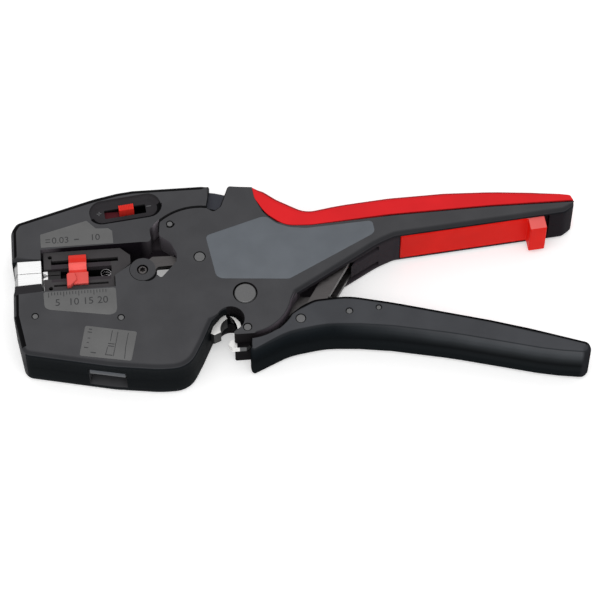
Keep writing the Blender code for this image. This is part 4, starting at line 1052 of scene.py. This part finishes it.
# Handle lock: a strip moulded of red plastic that slides along the underside of the upper
# handle. The tab at its end is hooked, and its upward faces are painted a paler pink as a
# painted highlight.

lock_red = red_skin("lock_red_plastic", (0.93, 0.012, 0.006), 0.42, 0.06, 0.01)
# Painted highlight: a paler pink on the tab's upward faces.
tab_red = red_skin("tab_red_painted_highlight", (0.9, 0.15, 0.138), 0.42, 0.06, 0.01)
tinted(tab_red, (0.93, 0.012, 0.006), x=(40.0, 96.4))


def upper_side(middles, normals):
    """True for the strip's and the tab's faces that look up."""
    return (normals[:, 2] > 0.3) & (middles[:, 2] > 15.0)


lock = dressed("lock_strip", "lock_slider", lock_red, 0.35)
recoloured(lock, tab_red, upper_side)


# Pins, rivets and bolt: turned steel, blackened and then blasted, pressed through both halves
# and each with a broken edge at both faces. The bolt's head is the largest.

pin_steel = ground_steel("blasted_steel", (0.15, 0.15, 0.152), 0.48, 3000.0, EVEN_GRAIN)
for node in (
    "main_pivot_bolt",
    "jaw_pivot_pin",
    "head_pin_front",
    "head_pin_rear",
    "shoulder_pin",
    "die_pin",
    "handle_pin",
    "handle_screw_1",
    "handle_screw_2",
):
    dressed(node + "_turned", node, pin_steel, 0.1)


# Cartridge latch: a strip cut from dull spring steel and set between the two halves, where it
# crosses the slot of the bottom wall.

leaf_steel = ground_steel("dull_spring_steel", (0.085, 0.09, 0.1), 0.45, 1500.0, EVEN_GRAIN)
LEAF_PLACE = np.array((-47.0, -24.0))
swing = math.radians(-12.5)
across = np.array((math.cos(swing), math.sin(swing)))
inwards = np.array((-math.sin(swing), math.cos(swing)))
leaf = [
    LEAF_PLACE + a * across + b * inwards
    for a, b in ((-6.0, 0.5), (5.8, 0.5), (5.8, 1.2), (-6.0, 1.2))
]
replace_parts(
    piece_of(
        "latch_leaf_strip",
        "housing",
        "steel",
        leaf_steel,
        stacked(leaf, ((10.3, 0.1), (10.5, 0.0), (12.5, 0.0), (12.7, 0.1))),
    ),
    "latch_leaf",
)


# Flat panels: areas of the faces that are ground smooth in the mould and so look paler, one
# bare panel on the body, one on the upper jaw, the scale of the length stop and a diagram.


def panel(name, body, finish, corners, radius):
    """A smooth panel 0.05 mm proud of the face, let into it by 0.1 mm."""
    levels = ((FACE_HEIGHT - 0.1, 0.0), (FACE_HEIGHT + 0.02, 0.0), (FACE_HEIGHT + 0.05, 0.04))
    return piece_of(name, body, "dark_plastic", finish, stacked(rounded(corners, radius), levels))


def smooth_panel(name, colour, roughness):
    """Even nylon with no grain but a slow change of shade."""
    finish, tree, shader, place = new_finish(name, roughness, specular=0.2)
    paler = tuple(c * 1.05 for c in colour)
    duller = tuple(c * 0.95 for c in colour)
    share = spread(tree, cloud(tree, place, 120.0), 0.35, 0.65, 0.0, 1.0)
    tree.links.new(blended(tree, share, duller, paler), shader.inputs["Base Color"])
    grained(tree, shader, cloud(tree, place, 5000.0), 0.006)
    return finish


label_grey = smooth_panel("smooth_blue_grey_panel", (0.115, 0.127, 0.143), 0.5)
scale_grey = smooth_panel("smooth_grey_panel", (0.125, 0.125, 0.125), 0.5)
panel(
    "label_area",
    "housing",
    label_grey,
    (
        (-11.6, 22.2),
        (-11.0, 23.2),
        (7.6, 29.0),
        (9.4, 28.7),
        (12.3, 26.0),
        (16.5, 24.2),
        (22.0, 23.4),
        (43.4, 24.6),
        (44.5, 24.0),
        (44.9, 20.5),
        (43.9, 19.3),
        (15.0, 4.2),
        (-7.6, 6.1),
        (-9.2, 7.4),
    ),
    0.9,
)
panel(
    "upper_jaw_panel",
    "upper_jaw",
    scale_grey,
    (
        (-66.9, 27.7),
        (-51.2, 32.0),
        (-48.2, 28.7),
        (-44.1, 28.5),
        (-42.8, 27.4),
        (-42.6, 22.6),
        (-66.8, 22.6),
    ),
    0.3,
)
panel(
    "length_scale",
    "housing",
    scale_grey,
    (
        (-66.6, 5.4),
        (-66.4, -0.3),
        (-65.2, -1.4),
        (-45.2, -4.9),
        (-43.2, -4.4),
        (-42.5, -3.0),
        (-42.6, 5.4),
    ),
    1.0,
)
panel(
    "diagram_panel",
    "housing",
    scale_grey,
    ((-53.3, -8.4), (-36.4, -12.0), (-38.8, -22.8), (-55.7, -19.5)),
    0.8,
)


# Lip: a near-black band of painted shade on the step of the head in front of the lower jaw
# plate. It is moulded with the front half, where the mould leaves the nylon smooth.

# Painted shade: a near-black sheet on the face stands in for the shade of the step.
lip_nylon = smooth_panel("lip_painted_shade_nylon", (0.013, 0.012, 0.014), 0.6)
lip = rounded(((-76.2, 4.6), (-75.9, 8.3), (-66.95, 8.75), (-66.95, 5.6), (-75.0, 5.1)), 0.5)
piece_of(
    "head_lip",
    "housing",
    "dark_plastic",
    lip_nylon,
    stacked(lip, ((17.7, 0.0), (17.98, 0.0), (18.03, 0.1))),
)


# Marks: ticks, plain numbers and line figures in dark relief on the panels, and two paler
# signs beside the depth slider. They are moulded with the nylon, a few hundredths of a
# millimetre high.

RELIEF = FACE_HEIGHT + 0.04
mark_grey = smooth_panel("dark_relief", (0.042, 0.042, 0.044), 0.5)


def stroke(start, end, width, low=RELIEF - 0.03, high=RELIEF + 0.05):
    """A raised bar between two points of the plan."""
    start, end = np.array(start, float), np.array(end, float)
    along = (end - start) / np.linalg.norm(end - start)
    aside = np.array((-along[1], along[0])) * width / 2.0
    outline = (start - aside, end - aside, end + aside, start + aside)
    return stacked(outline, ((low, 0.0), (high, 0.0)))


SIZE_PER_HEIGHT = 1.42


def figures(words, height, centre):
    """Raised figures: the built-in font, made a mesh whose shared corners are merged, and moved
    onto a point of the plan."""
    curve = bpy.data.curves.new("figures", "FONT")
    curve.body = words
    curve.size = height * SIZE_PER_HEIGHT
    curve.extrude = 0.04
    curve.resolution_u = 4
    curve.align_x = "CENTER"
    curve.align_y = "CENTER"
    writing = bpy.data.objects.new("figures", curve)
    bpy.context.scene.collection.objects.link(writing)
    bpy.context.view_layer.update()
    made = writing.evaluated_get(bpy.context.evaluated_depsgraph_get())
    mesh = bpy.data.meshes.new_from_object(made)
    bpy.data.objects.remove(writing)
    mesh.transform(Matrix.Translation((*centre, RELIEF)))
    shape = bmesh.new()
    shape.from_mesh(mesh)
    bmesh.ops.remove_doubles(shape, verts=shape.verts[:], dist=1e-4)
    points = np.array([v.co for v in shape.verts])
    faces = [[v.index for v in f.verts] for f in shape.faces]
    shape.free()
    return points, faces


FIRST_TICK = -64.9
TICK_END = 5.0
SHORT_TICK = 1.1
LONG_TICK = 1.8
ticks = [
    stroke((x, TICK_END), (x, TICK_END - (SHORT_TICK if i % 5 else LONG_TICK)), 0.22)
    for i, x in enumerate(np.arange(FIRST_TICK, -45.0, 1.0))
]
numbers = [
    figures(words, 2.6, (x, 0.9))
    for words, x in (("5", -62.0), ("10", -56.7), ("15", -51.9), ("20", -47.1))
]
scale_marks = ticks + numbers
piece_of(
    "length_scale_marks", "housing", "black_plastic", mark_grey, *scale_marks, smooth=False
)
jaw_marks = [
    figures("0.03", 2.4, (-60.2, 24.9)),
    stroke((-55.6, 24.9), (-54.0, 24.9), 0.4),
    figures("10", 2.4, (-48.6, 25.2)),
    stroke((-65.2, 25.5), (-63.6, 25.5), 0.3),
    stroke((-65.2, 24.5), (-63.6, 24.5), 0.3),
]
piece_of("range_marks", "upper_jaw", "black_plastic", mark_grey, *jaw_marks, smooth=False)

SIGN_LEVELS = (15.9, 16.25)
sign_grey = smooth_panel("pale_relief", (0.11, 0.11, 0.115), 0.5)
signs = [
    stroke(start, end, 0.3, *SIGN_LEVELS)
    for start, end in (
        ((-47.7, 35.35), (-46.1, 35.55)),
        ((-46.95, 34.7), (-46.85, 36.2)),
        ((-30.9, 37.2), (-29.3, 37.35)),
    )
]
piece_of("depth_signs", "upper_jaw", "dark_plastic", sign_grey, *signs, smooth=False)


DIAGRAM_CORNER = np.array((-53.3, -8.4))
DIAGRAM_ACROSS = np.array((16.9, -3.6))
DIAGRAM_DOWN = np.array((-2.4, -11.0))


def on_diagram(across, down):
    """A point of the diagram from its shares across and down the panel."""
    return tuple(DIAGRAM_CORNER + across * DIAGRAM_ACROSS + down * DIAGRAM_DOWN)


diagram = [
    stroke(on_diagram(a, b), on_diagram(c, d), w)
    for a, b, c, d, w in (
        (0.53, 0.06, 0.53, 0.42, 0.2),
        (0.64, 0.08, 0.64, 0.9, 0.2),
        (0.84, 0.08, 0.84, 0.55, 0.2),
        (0.84, 0.55, 0.86, 0.94, 0.2),
        (0.5, 0.5, 0.62, 0.5, 0.3),
        (0.5, 0.58, 0.62, 0.58, 0.3),
        (0.48, 0.88, 0.62, 0.88, 0.3),
        (0.5, 0.62, 0.49, 0.86, 0.2),
        (0.08, 0.1, 0.14, 0.1, 0.3),
        (0.07, 0.2, 0.15, 0.2, 0.3),
        (0.09, 0.4, 0.14, 0.4, 0.25),
        (0.09, 0.55, 0.13, 0.55, 0.25),
        (0.06, 0.72, 0.14, 0.72, 0.3),
        (0.2, 0.86, 0.3, 0.86, 0.3),
    )
]
piece_of("diagram_marks", "housing", "black_plastic", mark_grey, *diagram, smooth=False)


# Stage: a pale floor under the tool, one wide lamp above it and a sky that is brightest
# overhead, as in a light tent.


def seen_or_mirrored(tree):
    """1 for camera and glossy rays, and 0 for all others."""
    rays = tree.nodes.new("ShaderNodeLightPath")
    either = tree.nodes.new("ShaderNodeMath")
    either.operation = "MAXIMUM"
    tree.links.new(rays.outputs["Is Camera Ray"], either.inputs[0])
    tree.links.new(rays.outputs["Is Glossy Ray"], either.inputs[1])
    return either.outputs["Value"]


def light_tent():
    """World whose brightness rises from the horizon to overhead, and which camera and glossy
    rays see as white."""
    world = bpy.data.worlds.new("light_tent")
    bpy.context.scene.world = world
    world.use_nodes = True
    tree = world.node_tree
    sky = tree.nodes["Background"]
    sky.inputs["Color"].default_value = (1.0, 1.0, 1.0, 1.0)
    place = tree.nodes.new("ShaderNodeTexCoord").outputs["Generated"]
    height = tree.nodes.new("ShaderNodeSeparateXYZ")
    tree.links.new(place, height.inputs["Vector"])
    brightness = spread(tree, height.outputs["Z"], 0.0, 0.9, 0.6, 0.75)
    tree.links.new(brightness, sky.inputs["Strength"])
    white = tree.nodes.new("ShaderNodeBackground")
    white.inputs["Color"].default_value = (1.0, 1.0, 1.0, 1.0)
    choice = tree.nodes.new("ShaderNodeMixShader")
    tree.links.new(seen_or_mirrored(tree), choice.inputs["Fac"])
    tree.links.new(sky.outputs["Background"], choice.inputs[1])
    tree.links.new(white.outputs["Background"], choice.inputs[2])
    tree.links.new(choice.outputs["Shader"], tree.nodes["World Output"].inputs["Surface"])


FLOOR_REACH = 3.0
FLOOR_HEIGHT = -0.0002
FLOOR_GLOW = 0.34


def pale_floor():
    """A wide square under the tool, a little below its rear face, which adds some white of its
    own for camera and glossy rays and so keeps only a faint shadow."""
    mesh = bpy.data.meshes.new("floor")
    corners = [
        (x * FLOOR_REACH, y * FLOOR_REACH, FLOOR_HEIGHT)
        for x, y in ((-1, -1), (1, -1), (1, 1), (-1, 1))
    ]
    mesh.from_pydata(corners, [], [(0, 1, 2, 3)])
    floor = bpy.data.objects.new("floor", mesh)
    bpy.context.scene.collection.objects.link(floor)
    finish, tree, shader, place = new_finish("pale_floor", 0.9, specular=0.0)
    share = spread(tree, cloud(tree, place, 12.0), 0.3, 0.7, 0.0, 1.0)
    paint = blended(tree, share, (0.88, 0.88, 0.88), (0.9, 0.9, 0.9))
    tree.links.new(paint, shader.inputs["Base Color"])
    shader.inputs["Emission Color"].default_value = (1.0, 1.0, 1.0, 1.0)
    glow = tree.nodes.new("ShaderNodeMath")
    glow.operation = "MULTIPLY"
    glow.inputs[1].default_value = FLOOR_GLOW
    tree.links.new(seen_or_mirrored(tree), glow.inputs[0])
    tree.links.new(glow.outputs["Value"], shader.inputs["Emission Strength"])
    mesh.materials.append(finish)


light_tent()
pale_floor()
lamp = bpy.data.lights.new("overhead_lamp", "AREA")
lamp.shape = "RECTANGLE"
lamp.size = 0.9
lamp.size_y = 0.6
lamp.energy = 3.4
lamp_holder = bpy.data.objects.new("overhead_lamp", lamp)
lamp_tilt = Matrix.Rotation(math.radians(21.0), 4, "X")
lamp_holder.matrix_world = Matrix.Translation((-0.1, -0.35, 0.9)) @ lamp_tilt
bpy.context.scene.collection.objects.link(lamp_holder)


# Camera: a long lens a metre away, 60 degrees up and 4.5 degrees to the left, so that the tool
# fills the square and its near walls show below its faces, as in the picture.

AZIMUTH = math.radians(-4.5)
ELEVATION = math.radians(60.0)
TARGET = Vector((0.00001, -0.004835, 0.009))
right = Vector((math.cos(AZIMUTH), math.sin(AZIMUTH), 0.0))
back = Vector(
    (
        math.sin(AZIMUTH) * math.cos(ELEVATION),
        -math.cos(AZIMUTH) * math.cos(ELEVATION),
        math.sin(ELEVATION),
    )
)
up = back.cross(right)
camera = bpy.data.cameras.new("camera")
camera.lens = 179.7
camera.sensor_width = 36.0
camera.clip_start = 0.05
holder = bpy.data.objects.new("camera", camera)
attitude = Matrix((right, up, back)).transposed().to_4x4()
holder.matrix_world = Matrix.Translation(TARGET + back) @ attitude
bpy.context.scene.collection.objects.link(holder)
bpy.context.scene.camera = holder
bpy.context.scene.view_settings.view_transform = "Standard"
